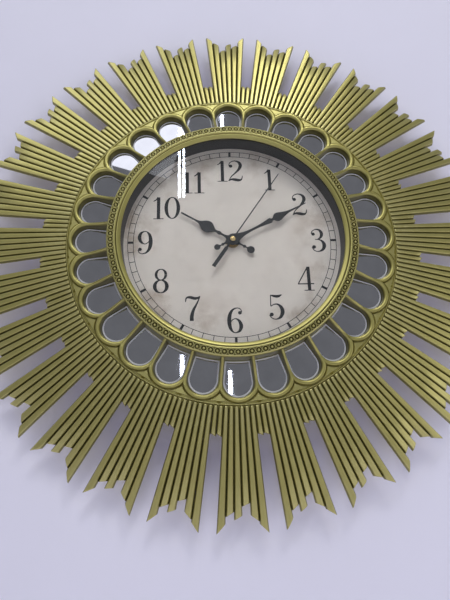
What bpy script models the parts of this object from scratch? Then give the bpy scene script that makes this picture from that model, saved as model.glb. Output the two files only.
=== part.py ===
"""Sunburst wall clock: a gold moulded sunburst with mirror petals around a quartz clock.

The clock is modelled lying on its back: x points to 3 o'clock, y to 12 o'clock, and z is the
height in front of the dial's face. One empty then stands it up, so that in the world +Z is
12 o'clock, -Y is the front, and the origin is on the hands' axis, half way through its depth.
"""

import math

import bmesh
import bpy
from mathutils import Matrix, Vector

MM = 0.001
TURN = 2 * math.pi

# ---------------------------------------------------------------------------
# Driving dimensions
# ---------------------------------------------------------------------------

# Overall
TIP_RADIUS = 300.0 * MM  # dial centre to the longest ray's tip
BEZEL_HEIGHT = 26.6 * MM  # dial face forward to the top of the bezel

# Clearances
GAP = 0.3 * MM  # between pieces that touch
RUNNING_GAP = 0.3 * MM  # between a turning tube and what is around it

# Sunburst rays
GROUPS = 28  # ray groups, and petals
LONG_BARS = 6  # long bars in a group
SHORT_BARS = 2  # short bars between two groups
RAY_DEPTH = 4.5 * MM  # front face to back
RAY_OVERLAP = 4.0 * MM  # how far a ray group reaches into the ring of short bars
RAY_SINK = 0.1 * MM  # how far a ray group's front lies under that ring's front
RAY_ROOT_HEIGHT = 9.0 * MM  # height of the rays' front at their roots
RAY_TIP_HEIGHT = -4.0 * MM  # height of the rays' front at their tips
SHORT_BAR_LENGTH = 28.2 * MM
# How far each long bar's end falls short of the tip circle, on its two edges, going clockwise
LONG_BAR_ENDS = (
    (0.0 * MM, 9.0 * MM),
    (10.8 * MM, 17.0 * MM),
    (28.0 * MM, 25.0 * MM),
    (17.0 * MM, 13.0 * MM),
    (20.4 * MM, 15.8 * MM),
    (9.6 * MM, 0.0 * MM),
)

# Petals
PETAL_FLOOR_BACK = 0.5 * MM  # height of the petal floor's back
PETAL_FLOOR = 2.0 * MM  # thickness of the petal floor
PETAL_LENGTH = 37.6 * MM  # from the bezel's outer wall to a petal opening's outer end
PETAL_TIP_WALL = 9.6 * MM  # from a petal opening's outer end to the ray roots
PETAL_TIP_RIM = 4.4 * MM  # flat top of the rim outside a petal's outer end
RIB_WIDTH = 4.45 * MM  # rib between two petals
RIM_HEIGHT = 13.0 * MM  # top of the petal rims
RIB_ROOT_DROP = 2.5 * MM  # from the bezel's outer edge down to the ribs' top

# Bezel
WINDOW_RADIUS = 121.1 * MM  # inner edge of the bezel
BEZEL_WIDTH = 15.1 * MM  # inner edge to outer wall
BEZEL_WALL = 2.8 * MM  # thickness of the outer wall
BEZEL_LIP = 1.2 * MM  # thickness of the lip over the lens, at its edge
BEZEL_INNER_DROP = 4.2 * MM  # how far the inner edge lies under the bezel's top
BEZEL_OUTER_DROP = 4.1 * MM  # how far the outer edge lies under the bezel's top
BEAD_INSET = 4.8 * MM  # from the outer wall in to the ridge that carries the beads
INNER_STEP_WIDTH = 4.5 * MM  # width of the slope at the inner edge
INNER_STEP_DROP = 1.2 * MM  # how far that slope's end lies under the bezel's top

# Mirrors
MIRROR_THICKNESS = 2.0 * MM
MIRROR_CLEARANCE = 0.4 * MM  # mirror edge to its pocket's wall

# Lens, spacer and dial
LENS_THICKNESS = 2.0 * MM
LENS_CLEARANCE = 2.4 * MM  # lens edge to the bezel's wall
SPACER_WALL = 2.4 * MM
SPACER_CLEARANCE = 1.0 * MM  # spacer to the inside of the rear pan's wall
DIAL_THICKNESS = 3.0 * MM
DIAL_CLEARANCE = 1.4 * MM  # dial edge to the rear pan's wall

# Rear pan
PAN_WALL = 2.0 * MM
PAN_FLANGE = 1.9 * MM  # thickness of the flange
PAN_FLANGE_MARGIN = 2.0 * MM  # from the screw heads to the flange's edge
PAN_RIM_WIDTH = 6.3 * MM  # width of the face that rests on the wall
PAN_OPENING_CLEARANCE = 5.4 * MM  # the movement's corners to the round opening around it
PAN_SCREWS = 3
PAN_SCREW_RADIUS = 1.2 * MM
PAN_SCREW_HEAD_RADIUS = 3.0 * MM
PAN_SCREW_HEAD = 2.0 * MM
PAN_SCREW_REACH = 5.0 * MM  # length of the screw in the frame
PAN_SCREW_END_ROOM = 0.5 * MM
PAN_SCREW_INSET = 1.8 * MM  # from the bezel's outer wall to the screw heads

# Hanger
HANGER_WIDTH = 60.0 * MM
HANGER_HEIGHT = 24.0 * MM
HANGER_THICKNESS = 1.2 * MM
HANGER_RIM_SPACE = 12.5 * MM  # from the hanger's top edge to the pan's rim
KEYHOLE_HEAD_RADIUS = 4.5 * MM
KEYHOLE_SLOT_WIDTH = 4.6 * MM
KEYHOLE_LENGTH = 8.5 * MM  # centre of the round hole to the slot's end
STAKE_SPACING = 44.0 * MM
STAKE_BOSS_RADIUS = 4.5 * MM
STAKE_RADIUS = 1.8 * MM
STAKE_HEAD_RADIUS = 3.2 * MM
STAKE_HEAD = 0.8 * MM
WALL_CLEARANCE = 0.8 * MM  # stake head to the wall

# Movement case
CASE_FLOOR = 1.2 * MM
CASE_WALL = 1.5 * MM
BUSH_RADIUS = 3.9 * MM
BUSH_BORE = 2.8 * MM
BUSH_HEIGHT = 2.9 * MM  # how far the bush stands in front of the dial
BUSH_CLEARANCE = 0.4 * MM  # between the bush and the dial's hole
MIDDLE_PLATE = 0.7 * MM
BEARING_RADIUS = 0.6 * MM
BEARING_DEPTH = 0.7 * MM

# Battery, of the AA size
BATTERY_RADIUS = 7.25 * MM
BATTERY_LENGTH = 50.5 * MM
BATTERY_NUB_RADIUS = 2.7 * MM
BATTERY_NUB = 1.2 * MM
BAY_CLEARANCE = 0.45 * MM
CASE_RIM = 1.0 * MM  # what is left of the back around the battery's opening, at its ends
CONTACT_THICKNESS = 0.5 * MM
CONTACT_SIZE = 8.0 * MM

# Wheels: teeth of each pinion and wheel
ROTOR_PINION = 6
INTERMEDIATE_WHEEL = 36
INTERMEDIATE_PINION = 6
SECONDS_WHEEL = 30
SECONDS_PINION = 6
THIRD_WHEEL = 48
THIRD_PINION = 6
CENTRE_WHEEL = 45
CANNON_PINION = 10
SETTING_WHEEL = 30
SETTING_PINION = 8
HOUR_WHEEL = 32

# Wheels: distances between meshing axes, and their directions from 3 o'clock
THIRD_ARBOR_SPACE = 0.64 * MM  # from the hour wheel's rim to the third wheel's arbor
THIRD_DIRECTION = math.radians(150)
INTERMEDIATE_DISTANCE = 7.56 * MM
INTERMEDIATE_DIRECTION = math.radians(60)
ROTOR_DISTANCE = INTERMEDIATE_DISTANCE * 8 / 9
ROTOR_DIRECTION = math.radians(100)
SETTING_DISTANCE = 9.0 * MM
SETTING_DIRECTION = math.radians(0)

# Wheels: thicknesses and arbors
WHEEL_THICKNESS = 0.8 * MM
WHEEL_BAY_SPACE = 2.04 * MM  # widest wheel on the hands' axis to the battery bay's wall
LAYER_GAP = 0.4 * MM  # between wheels in neighbouring layers
FIRST_LAYER_GAP = 0.5 * MM  # between the front case and the hour wheel
PINION_PROUD = 0.1 * MM  # how far a pinion stands out past the wheel that it meshes with
PINION_OVERLAP = 0.2 * MM  # how deep a pinion is sunk into its own wheel
ADDENDUM = 0.80  # height of a tooth above the pitch circle, in modules
DEDENDUM = 1.05  # depth of a gap below the pitch circle, in modules
TOOTH_HALF_WIDTH = 0.26  # half a tooth's width at its root, in pitches
ARBOR_RADIUS = 0.4 * MM
ARBOR_SINK = 0.1 * MM  # from the middle plate's front to the arbors that end in it
SECONDS_ARBOR_RADIUS = 0.5 * MM
TUBE_WALL = 0.65 * MM
ROTOR_RADIUS = 3.0 * MM
ROTOR_LENGTH = 2.2 * MM

# Motor and circuit
STATOR_THICKNESS = 0.8 * MM
STATOR_BAR = 3.0 * MM  # width of the bar that carries the coil
STATOR_AIR_GAP = 0.7 * MM
STATOR_MARGIN = 2.0 * MM  # width of the stator beside the coil and the rotor
COIL_X = -7.0 * MM
COIL_CASE_SPACE = 1.2 * MM  # coil to the case's top wall
COIL_RADIUS = 2.8 * MM
COIL_BORE = 1.8 * MM
COIL_LENGTH = 17.0 * MM
BOARD_WIDTH = 14.0 * MM
BOARD_HEIGHT = 19.0 * MM
BOARD_THICKNESS = 0.8 * MM
BOARD_CLEARANCE = 1.2 * MM  # board to the case's side wall
BOARD_BACK_SPACE = 0.6 * MM  # board to the case's back
CHIP_RADIUS = 2.6 * MM
CHIP_HEIGHT = 0.7 * MM
CRYSTAL_RADIUS = 1.0 * MM
CRYSTAL_LENGTH = 6.0 * MM

# Setting knob
KNOB_RADIUS = 5.0 * MM
KNOB_THICKNESS = 1.9 * MM
KNOB_GRIPS = 12
KNOB_WALL_CLEARANCE = 0.5 * MM  # knob to the wall

# Nut and washer on the bush
NUT_ACROSS_FLATS = 11.0 * MM
NUT_THICKNESS = 1.4 * MM
WASHER_RADIUS = 8.0 * MM
WASHER_THICKNESS = 0.6 * MM

# Hands
HAND_THICKNESS = 0.6 * MM
TUBE_PROUD = 0.4 * MM  # how far a tube stands out in front of its hand
SECOND_HAND_THICKNESS = 0.4 * MM
HOUR_HAND_HEIGHT = 3.6 * MM
MINUTE_HAND_HEIGHT = 5.4 * MM
SECOND_HAND_HEIGHT = 7.1 * MM
HOUR_HAND_LENGTH = 67.0 * MM
MINUTE_HAND_LENGTH = 96.0 * MM
SECOND_HAND_LENGTH = 96.8 * MM
SECOND_TAIL_LENGTH = 39.0 * MM
BOSS_RADIUS = 3.0 * MM
BOSS_HEIGHT = 1.1 * MM
HOUR_HAND_ANGLE = math.radians(301.4)  # clockwise from 12, at rest
MINUTE_HAND_ANGLE = math.radians(62.3)
SECOND_HAND_ANGLE = math.radians(34.2)

# Facets
RING_STEPS = 2 * GROUPS
SMALL_STEPS = 16

# ---------------------------------------------------------------------------
# Derived dimensions
# ---------------------------------------------------------------------------

PETAL_PITCH = TURN / GROUPS
BAR_PITCH = PETAL_PITCH / (LONG_BARS + SHORT_BARS)
BEZEL_OUTER_RADIUS = WINDOW_RADIUS + BEZEL_WIDTH
BEZEL_CAVITY_RADIUS = BEZEL_OUTER_RADIUS - BEZEL_WALL
PETAL_FLOOR_TOP = PETAL_FLOOR_BACK + PETAL_FLOOR
PETAL_TIP_RADIUS = BEZEL_OUTER_RADIUS + PETAL_LENGTH
RAY_ROOT_RADIUS = PETAL_TIP_RADIUS + PETAL_TIP_WALL
SHORT_BAR_RADIUS = RAY_ROOT_RADIUS + SHORT_BAR_LENGTH

# The round end of a petal's opening leaves the rib's width between it and the next one's
PITCH_SLOPE = math.tan(PETAL_PITCH / 2)
PETAL_ARCH_RADIUS = (PETAL_TIP_RADIUS * PITCH_SLOPE - RIB_WIDTH / 2) / (1 + PITCH_SLOPE)
PETAL_ARCH_CENTRE = PETAL_TIP_RADIUS - PETAL_ARCH_RADIUS

# Case, which the battery sets: it lies between its contacts, flush with the back
CASE_INSIDE = BATTERY_LENGTH / 2 + BAY_CLEARANCE + CONTACT_THICKNESS + GAP
CASE_SIZE = 2 * (CASE_INSIDE + CASE_WALL)
CASE_DEPTH = CASE_FLOOR + GAP + 2 * BATTERY_RADIUS
WALL_DEPTH = DIAL_THICKNESS + GAP + CASE_DEPTH + GAP + KNOB_THICKNESS + KNOB_WALL_CLEARANCE
LENS_FRONT = BEZEL_HEIGHT - BEZEL_INNER_DROP - BEZEL_LIP - GAP
LENS_BACK = LENS_FRONT - LENS_THICKNESS
LENS_RADIUS = BEZEL_CAVITY_RADIUS - LENS_CLEARANCE
PAN_INNER_RADIUS = WINDOW_RADIUS + GAP + SPACER_WALL + SPACER_CLEARANCE
PAN_WALL_RADIUS = PAN_INNER_RADIUS + PAN_WALL
PAN_RIM_RADIUS = PAN_WALL_RADIUS - PAN_RIM_WIDTH
PAN_SCREW_CIRCLE = BEZEL_OUTER_RADIUS + PAN_SCREW_HEAD_RADIUS + PAN_SCREW_INSET
PAN_FLANGE_RADIUS = PAN_SCREW_CIRCLE + PAN_SCREW_HEAD_RADIUS + PAN_FLANGE_MARGIN
HANGER_RADIUS = PAN_RIM_RADIUS - HANGER_RIM_SPACE - HANGER_HEIGHT / 2
PAN_FLOOR_FRONT = -DIAL_THICKNESS - GAP
DIAL_RADIUS = PAN_INNER_RADIUS - DIAL_CLEARANCE
CASE_FRONT = -DIAL_THICKNESS - GAP
CASE_INNER_FRONT = CASE_FRONT - CASE_FLOOR
CASE_BACK = CASE_FRONT - CASE_DEPTH
CASE_INNER_BACK = CASE_BACK + CASE_FLOOR

# Heights of the wheels' front faces, from the dial side to the back
HOUR_WHEEL_TOP = CASE_INNER_FRONT - FIRST_LAYER_GAP
SETTING_WHEEL_TOP = HOUR_WHEEL_TOP - WHEEL_THICKNESS - LAYER_GAP
CENTRE_WHEEL_TOP = SETTING_WHEEL_TOP - WHEEL_THICKNESS - LAYER_GAP
MIDDLE_PLATE_TOP = CENTRE_WHEEL_TOP - WHEEL_THICKNESS - GAP
THIRD_WHEEL_TOP = MIDDLE_PLATE_TOP - MIDDLE_PLATE - LAYER_GAP
SECONDS_WHEEL_TOP = THIRD_WHEEL_TOP - WHEEL_THICKNESS - LAYER_GAP
INTERMEDIATE_WHEEL_TOP = SECONDS_WHEEL_TOP - WHEEL_THICKNESS - LAYER_GAP
ROTOR_TOP = INTERMEDIATE_WHEEL_TOP - WHEEL_THICKNESS - LAYER_GAP
STATOR_TOP = ROTOR_TOP - (ROTOR_LENGTH - STATOR_THICKNESS) / 2

# Tubes on the hands' axis, from the inside out
CANNON_BORE = SECONDS_ARBOR_RADIUS + RUNNING_GAP
CANNON_RADIUS = CANNON_BORE + TUBE_WALL
HOUR_PIPE_BORE = CANNON_RADIUS + RUNNING_GAP
HOUR_PIPE_RADIUS = HOUR_PIPE_BORE + TUBE_WALL


def polar(radius, angle):
    """The point at this radius and this angle from 3 o'clock, counter-clockwise."""
    return Vector((radius * math.cos(angle), radius * math.sin(angle)))


def clock_point(radius, angle):
    """The point at this radius and this angle from 12 o'clock, clockwise."""
    return Vector((radius * math.sin(angle), radius * math.cos(angle)))


def gear_module(teeth, distance, partner):
    """The module that puts two meshing gears at a distance from each other."""
    return 2 * distance / (teeth + partner)


def gear_tip(teeth, distance, partner):
    """The radius of a gear's tooth tips."""
    module = gear_module(teeth, distance, partner)
    return module * (teeth / 2 + ADDENDUM)


# The third wheel's arbor passes beside the hour wheel
HOUR_WHEEL_TIP = gear_tip(HOUR_WHEEL, SETTING_DISTANCE, SETTING_PINION)
THIRD_DISTANCE = HOUR_WHEEL_TIP + ARBOR_RADIUS + THIRD_ARBOR_SPACE

MAIN_AXIS = Vector((0.0, 0.0))
THIRD_AXIS = polar(THIRD_DISTANCE, THIRD_DIRECTION)
INTERMEDIATE_AXIS = polar(INTERMEDIATE_DISTANCE, INTERMEDIATE_DIRECTION)
ROTOR_AXIS = INTERMEDIATE_AXIS + polar(ROTOR_DISTANCE, ROTOR_DIRECTION)
SETTING_AXIS = polar(SETTING_DISTANCE, SETTING_DIRECTION)

# Battery bay, along the bottom of the case, below the widest wheel on the hands' axis
WIDEST_WHEEL = max(
    HOUR_WHEEL_TIP,
    gear_tip(SETTING_WHEEL, SETTING_DISTANCE, CANNON_PINION),
    gear_tip(CENTRE_WHEEL, THIRD_DISTANCE, THIRD_PINION),
)
BAY_TOP = -(WIDEST_WHEEL + WHEEL_BAY_SPACE + CASE_FLOOR)
BAY_BOTTOM = BAY_TOP - 2 * (BATTERY_RADIUS + BAY_CLEARANCE)
CASE_BOTTOM = BAY_BOTTOM - CASE_WALL
CASE_CORNER = math.hypot(CASE_SIZE / 2, max(CASE_SIZE / 2, -CASE_BOTTOM))
PAN_OPENING_RADIUS = CASE_CORNER + PAN_OPENING_CLEARANCE
BATTERY_Y = (BAY_BOTTOM + BAY_TOP) / 2
BATTERY_Z = CASE_INNER_FRONT - GAP - BATTERY_RADIUS
COIL_Y = CASE_INSIDE - COIL_RADIUS - COIL_CASE_SPACE


# ---------------------------------------------------------------------------
# Scene and materials
# ---------------------------------------------------------------------------


def clear_scene():
    """Remove every object of the scene."""
    for obj in list(bpy.data.objects):
        bpy.data.objects.remove(obj, do_unlink=True)


def new_collection(name):
    """A new collection, linked to the scene."""
    collection = bpy.data.collections.new(name)
    bpy.context.scene.collection.children.link(collection)
    return collection


def material(name, colour, roughness, metallic=0.0, alpha=1.0):
    """A Principled material."""
    made = bpy.data.materials.new(name)
    made.use_nodes = True
    shader = made.node_tree.nodes["Principled BSDF"]
    shader.inputs["Base Color"].default_value = (*colour, 1.0)
    shader.inputs["Roughness"].default_value = roughness
    shader.inputs["Metallic"].default_value = metallic
    shader.inputs["Alpha"].default_value = alpha
    made.diffuse_color = (*colour, alpha)
    return made


clear_scene()
PARTS = new_collection("sunburst_wall_clock")
CUTTERS = new_collection("cutters")

ROOT = bpy.data.objects.new("clock_root", None)
PARTS.objects.link(ROOT)
ROOT.rotation_euler = (math.pi / 2, 0, 0)
ROOT.location = (0, (BEZEL_HEIGHT - WALL_DEPTH) / 2, 0)

# ---------------------------------------------------------------------------
# Modelling tools
# ---------------------------------------------------------------------------


def place(mesh, name, look=None, at=(0, 0, 0), turn=0.0, smooth=True):
    """Put a mesh in the clock as a piece with its own material, or as a cutter if it has no look."""
    obj = bpy.data.objects.new(name, mesh)
    obj.location = at
    obj.rotation_euler = (0, 0, turn)
    obj.parent = ROOT
    if look is None:
        CUTTERS.objects.link(obj)
        obj.hide_render = True
        obj.display_type = "WIRE"
        return obj
    PARTS.objects.link(obj)
    mesh.materials.append(material(name, *look))
    if smooth:
        mesh.shade_smooth()
        mesh.set_sharp_from_angle(angle=math.radians(35))
    return obj


def profile_mesh(name, points, closed):
    """A profile of (radius, height) points in the x-z plane, for the Screw modifier."""
    count = len(points)
    edges = [(i, i + 1) for i in range(count - 1)]
    if closed:
        edges.append((count - 1, 0))
    mesh = bpy.data.meshes.new(name)
    mesh.from_pydata([(radius, 0, height) for radius, height in points], edges, [])
    return mesh


def turned(name, points, look=None, closed=True, steps=RING_STEPS, at=(0, 0, 0), turn=0.0):
    """A piece turned about its z axis. The points run down the outer side."""
    obj = place(profile_mesh(name, points, closed), name, look, at, turn, smooth=False)
    screw = obj.modifiers.new("turn", "SCREW")
    screw.steps = steps
    screw.render_steps = steps
    screw.use_merge_vertices = True
    screw.merge_threshold = 0.00002
    screw.use_smooth_shade = True
    return obj


def plate_mesh(name, outlines, low, high):
    """A flat mesh between two heights. The first outline is its edge, and the others are holes."""
    curve = bpy.data.curves.new(name, "CURVE")
    curve.dimensions = "2D"
    curve.fill_mode = "BOTH"
    curve.extrude = (high - low) / 2
    for outline in outlines:
        spline = curve.splines.new("POLY")
        spline.points.add(len(outline) - 1)
        for point, place_xy in zip(spline.points, outline):
            point.co = (place_xy[0], place_xy[1], 0, 1)
        spline.use_cyclic_u = True
    flat = bpy.data.objects.new(name, curve)
    CUTTERS.objects.link(flat)
    bpy.context.view_layer.update()
    graph = bpy.context.evaluated_depsgraph_get()
    mesh = bpy.data.meshes.new_from_object(flat.evaluated_get(graph))
    bpy.data.objects.remove(flat, do_unlink=True)
    bpy.data.curves.remove(curve)
    sheet = bmesh.new()
    sheet.from_mesh(mesh)
    bmesh.ops.remove_doubles(sheet, verts=sheet.verts, dist=0.000005)
    bmesh.ops.translate(sheet, verts=sheet.verts, vec=(0, 0, (low + high) / 2))
    sheet.to_mesh(mesh)
    sheet.free()
    return mesh


def plate(name, outlines, low, high, look=None, at=(0, 0, 0), turn=0.0):
    """A flat piece or cutter between two heights."""
    return place(plate_mesh(name, outlines, low, high), name, look, at, turn)


def box(name, low, high, look=None, at=(0, 0, 0)):
    """A box between two corners."""
    low, high = Vector(low), Vector(high)
    cube = bmesh.new()
    size = high - low
    bmesh.ops.create_cube(cube, size=1.0)
    bmesh.ops.scale(cube, verts=cube.verts, vec=size)
    bmesh.ops.translate(cube, verts=cube.verts, vec=(low + high) / 2)
    mesh = bpy.data.meshes.new(name)
    cube.to_mesh(mesh)
    cube.free()
    return place(mesh, name, look, at)


def rod(name, radius, low, high, look=None, centre=(0, 0), steps=SMALL_STEPS, along="Z"):
    """A cylinder between two places on its axis, which is parallel to z or x."""
    cylinder = bmesh.new()
    bmesh.ops.create_cone(
        cylinder, cap_ends=True, segments=steps, radius1=radius, radius2=radius, depth=high - low
    )
    bmesh.ops.translate(cylinder, verts=cylinder.verts, vec=(0, 0, (low + high) / 2))
    if along == "X":
        bmesh.ops.rotate(cylinder, verts=cylinder.verts, matrix=Matrix.Rotation(math.pi / 2, 3, "Y"))
    mesh = bpy.data.meshes.new(name)
    cylinder.to_mesh(mesh)
    cylinder.free()
    at = (centre[0], centre[1], 0) if along == "Z" else (0, centre[0], centre[1])
    return place(mesh, name, look, at)


def boolean(obj, other, operation):
    """Join another shape to an object, or cut it out of the object."""
    step = obj.modifiers.new(other.name, "BOOLEAN")
    step.object = other
    step.operation = operation
    step.solver = "EXACT"
    return obj


def join(obj, *others):
    """Make the other shapes one solid with the object."""
    for other in others:
        boolean(obj, other, "UNION")
    return obj


def cut(obj, *others):
    """Cut the other shapes out of the object."""
    for other in others:
        boolean(obj, other, "DIFFERENCE")
    return obj


def joined_mesh(name, meshes):
    """One mesh of several shapes that don't touch, to cut them all at once."""
    together = bmesh.new()
    for mesh in meshes:
        together.from_mesh(mesh)
    result = bpy.data.meshes.new(name)
    together.to_mesh(result)
    together.free()
    return result


def circle(radius, steps=SMALL_STEPS, centre=(0, 0)):
    """The points of a circle."""
    middle = Vector((centre[0], centre[1]))
    return [middle + polar(radius, TURN * step / steps) for step in range(steps)]


def rectangle(left, bottom, right, top):
    """The corners of a rectangle."""
    return [(left, bottom), (right, bottom), (right, top), (left, top)]


def mirrored_outline(half):
    """A closed outline from its (x, y) points on the right of the y axis, going up."""
    return list(half) + [(-x, y) for x, y in reversed(half) if x > 0]


# ---------------------------------------------------------------------------
# Materials: colour, roughness, metallic
# ---------------------------------------------------------------------------

GOLD_PAINT = ((0.42, 0.36, 0.11), 0.32, 0.75)
MIRROR_GLASS = ((0.80, 0.81, 0.82), 0.03, 1.0)
CLEAR_GLASS = ((0.95, 0.97, 0.98), 0.02, 0.0, 0.25)
BLACK_PLASTIC = ((0.012, 0.012, 0.013), 0.45)
DIAL_PAPER = ((0.62, 0.55, 0.45), 0.60)
BLACK_HAND = ((0.010, 0.011, 0.016), 0.35)
STEEL = ((0.55, 0.55, 0.56), 0.35, 1.0)
BRASS = ((0.72, 0.53, 0.22), 0.28, 1.0)
GREY_PLASTIC = ((0.11, 0.11, 0.12), 0.50)
WHITE_NYLON = ((0.80, 0.79, 0.74), 0.45)
BATTERY_JACKET = ((0.10, 0.16, 0.30), 0.35)
BOARD_GREEN = ((0.03, 0.16, 0.07), 0.45)
COPPER = ((0.60, 0.24, 0.10), 0.35, 1.0)

# ---------------------------------------------------------------------------
# Sunburst frame
# ---------------------------------------------------------------------------


def group_tips():
    """(radius, bar boundary) of one ray group's long bars, clockwise."""
    tips = []
    for bar, (left, right) in enumerate(LONG_BAR_ENDS):
        start = bar - LONG_BARS / 2
        tips.append((TIP_RADIUS - left, start))
        tips.append((TIP_RADIUS - right, start + 1))
    return tips


def slope_back(mesh):
    """Tilt the rays back, so that their front falls evenly from the root to the tips."""
    for vertex in mesh.vertices:
        radius = math.hypot(vertex.co.x, vertex.co.y)
        vertex.co.z += ray_front(radius)


def ray_front(radius):
    """The height of the rays' front at a radius."""
    slope = (RAY_TIP_HEIGHT - RAY_ROOT_HEIGHT) / (TIP_RADIUS - RAY_ROOT_RADIUS)
    return RAY_ROOT_HEIGHT + slope * (radius - RAY_ROOT_RADIUS)


def ray_group_mesh(group):
    """The long bars of one ray group, as a plate that starts inside the ring of short bars."""
    middle = group * PETAL_PITCH
    outline = [
        clock_point(radius, middle + boundary * BAR_PITCH) for radius, boundary in group_tips()
    ]
    inner = SHORT_BAR_RADIUS - RAY_OVERLAP
    half_width = LONG_BARS / 2 * BAR_PITCH
    outline.append(clock_point(inner, middle + half_width))
    outline.append(clock_point(inner, middle - half_width))
    mesh = plate_mesh(f"ray_group_{group}", [outline], -RAY_DEPTH, -RAY_SINK)
    slope_back(mesh)
    return mesh


def petal_outline(inset, angle):
    """A petal's opening, moved in by an inset: a round outer end, straight sides, a curved foot."""
    half_pitch = PETAL_PITCH / 2
    side = RIB_WIDTH / 2 + inset
    foot_radius = BEZEL_OUTER_RADIUS + GAP + inset
    foot_half = half_pitch - math.asin(side / foot_radius)
    arch = PETAL_ARCH_RADIUS - inset
    arch_steps = 6
    outline = []
    for step in range(arch_steps + 1):
        swing = math.pi * step / arch_steps
        outline.append(Vector((-arch * math.cos(swing), PETAL_ARCH_CENTRE + arch * math.sin(swing))))
    outline.append(clock_point(foot_radius, foot_half))
    outline.append(clock_point(foot_radius * math.cos(foot_half / 2), 0.0))
    outline.append(clock_point(foot_radius, -foot_half))
    turned_by = Matrix.Rotation(-angle, 2)
    return [turned_by @ point for point in outline]


def bezel_and_petal_profile():
    """The section of the bezel and the petal ring, from the window's edge down the outer side."""
    window_edge = BEZEL_HEIGHT - BEZEL_INNER_DROP
    outer_edge = BEZEL_HEIGHT - BEZEL_OUTER_DROP
    lip = window_edge - BEZEL_LIP
    short_end = ray_front(SHORT_BAR_RADIUS)
    return [
        (WINDOW_RADIUS, window_edge),
        (WINDOW_RADIUS + INNER_STEP_WIDTH, BEZEL_HEIGHT - INNER_STEP_DROP),
        (BEZEL_OUTER_RADIUS - BEAD_INSET, BEZEL_HEIGHT),
        (BEZEL_OUTER_RADIUS, outer_edge),
        (BEZEL_OUTER_RADIUS, outer_edge - RIB_ROOT_DROP),
        (BEZEL_OUTER_RADIUS + 0.6 * PETAL_LENGTH, RIM_HEIGHT),
        (PETAL_TIP_RADIUS + PETAL_TIP_RIM, RIM_HEIGHT),
        (RAY_ROOT_RADIUS, RAY_ROOT_HEIGHT),
        (SHORT_BAR_RADIUS, short_end),
        (SHORT_BAR_RADIUS, short_end - RAY_DEPTH),
        (RAY_ROOT_RADIUS, RAY_ROOT_HEIGHT - RAY_DEPTH),
        (PETAL_TIP_RADIUS + PETAL_TIP_RIM / 2, PETAL_FLOOR_BACK),
        (BEZEL_CAVITY_RADIUS, PETAL_FLOOR_BACK),
        (BEZEL_CAVITY_RADIUS, lip),
        (WINDOW_RADIUS, lip),
    ]


def pan_screw_angle(index):
    """The clockwise angle of a pan screw, which goes into a rib between two petals."""
    return (round(index * GROUPS / PAN_SCREWS) + 0.5) * PETAL_PITCH


def make_sunburst_frame():
    """The gold moulding: bezel, petal rims with their pockets, and rays."""
    frame = turned("sunburst_frame", bezel_and_petal_profile(), GOLD_PAINT)
    groups = [ray_group_mesh(group) for group in range(GROUPS)]
    join(frame, place(joined_mesh("ray_groups", groups), "ray_groups"))
    pockets = [
        plate_mesh(
            f"pocket_{petal}",
            [petal_outline(0.0, petal * PETAL_PITCH)],
            PETAL_FLOOR_TOP,
            BEZEL_HEIGHT + RIM_HEIGHT,
        )
        for petal in range(GROUPS)
    ]
    cut(frame, place(joined_mesh("petal_pockets", pockets), "petal_pockets"))
    for index in range(PAN_SCREWS):
        centre = clock_point(PAN_SCREW_CIRCLE, pan_screw_angle(index))
        hole_end = PETAL_FLOOR_BACK + PAN_SCREW_REACH + PAN_SCREW_END_ROOM
        cut(frame, rod(f"frame_screw_hole_{index}", PAN_SCREW_RADIUS + GAP, -MM, hole_end,
                       centre=centre, steps=8))


def make_mirror_petals():
    """A mirror in each petal's pocket."""
    low = PETAL_FLOOR_TOP + GAP
    outline = petal_outline(MIRROR_CLEARANCE, 0.0)
    for petal in range(GROUPS):
        name = f"mirror_petal_{petal + 1:02d}"
        plate(name, [outline], low, low + MIRROR_THICKNESS, MIRROR_GLASS, turn=-petal * PETAL_PITCH)


# ---------------------------------------------------------------------------
# Lens, spacer, dial, rear pan and hanger
# ---------------------------------------------------------------------------


def make_lens():
    """The flat glass in front of the dial."""
    points = [(0, LENS_FRONT), (LENS_RADIUS, LENS_FRONT), (LENS_RADIUS, LENS_BACK), (0, LENS_BACK)]
    turned("lens", points, CLEAR_GLASS, closed=False)


def make_spacer_ring():
    """The black wall between the dial and the lens."""
    inner = WINDOW_RADIUS + GAP
    outer = inner + SPACER_WALL
    top = LENS_BACK - GAP
    turned("spacer_ring", [(inner, top), (outer, top), (outer, GAP), (inner, GAP)], BLACK_PLASTIC)


def make_dial():
    """The printed dial, with a hole for the movement's bush."""
    hole = BUSH_RADIUS + BUSH_CLEARANCE
    plate("dial", [circle(DIAL_RADIUS, RING_STEPS), circle(hole)], -DIAL_THICKNESS, 0.0, DIAL_PAPER)


def stake(index, side):
    """A boss on the pan's floor, with the pin and the flattened head that hold the hanger."""
    base = PAN_FLOOR_FRONT - PAN_WALL / 2
    head_end = -WALL_DEPTH + WALL_CLEARANCE
    head_start = head_end + STAKE_HEAD
    shoulder = head_start + 2 * GAP + HANGER_THICKNESS
    points = [
        (0, base),
        (STAKE_BOSS_RADIUS, base),
        (STAKE_BOSS_RADIUS, shoulder),
        (STAKE_RADIUS, shoulder),
        (STAKE_RADIUS, head_start),
        (STAKE_HEAD_RADIUS, head_start),
        (STAKE_HEAD_RADIUS, head_end),
        (0, head_end),
    ]
    return turned(f"stake_{index}", points, closed=False, steps=12,
                  at=(side * STAKE_SPACING / 2, HANGER_RADIUS, 0))


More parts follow.
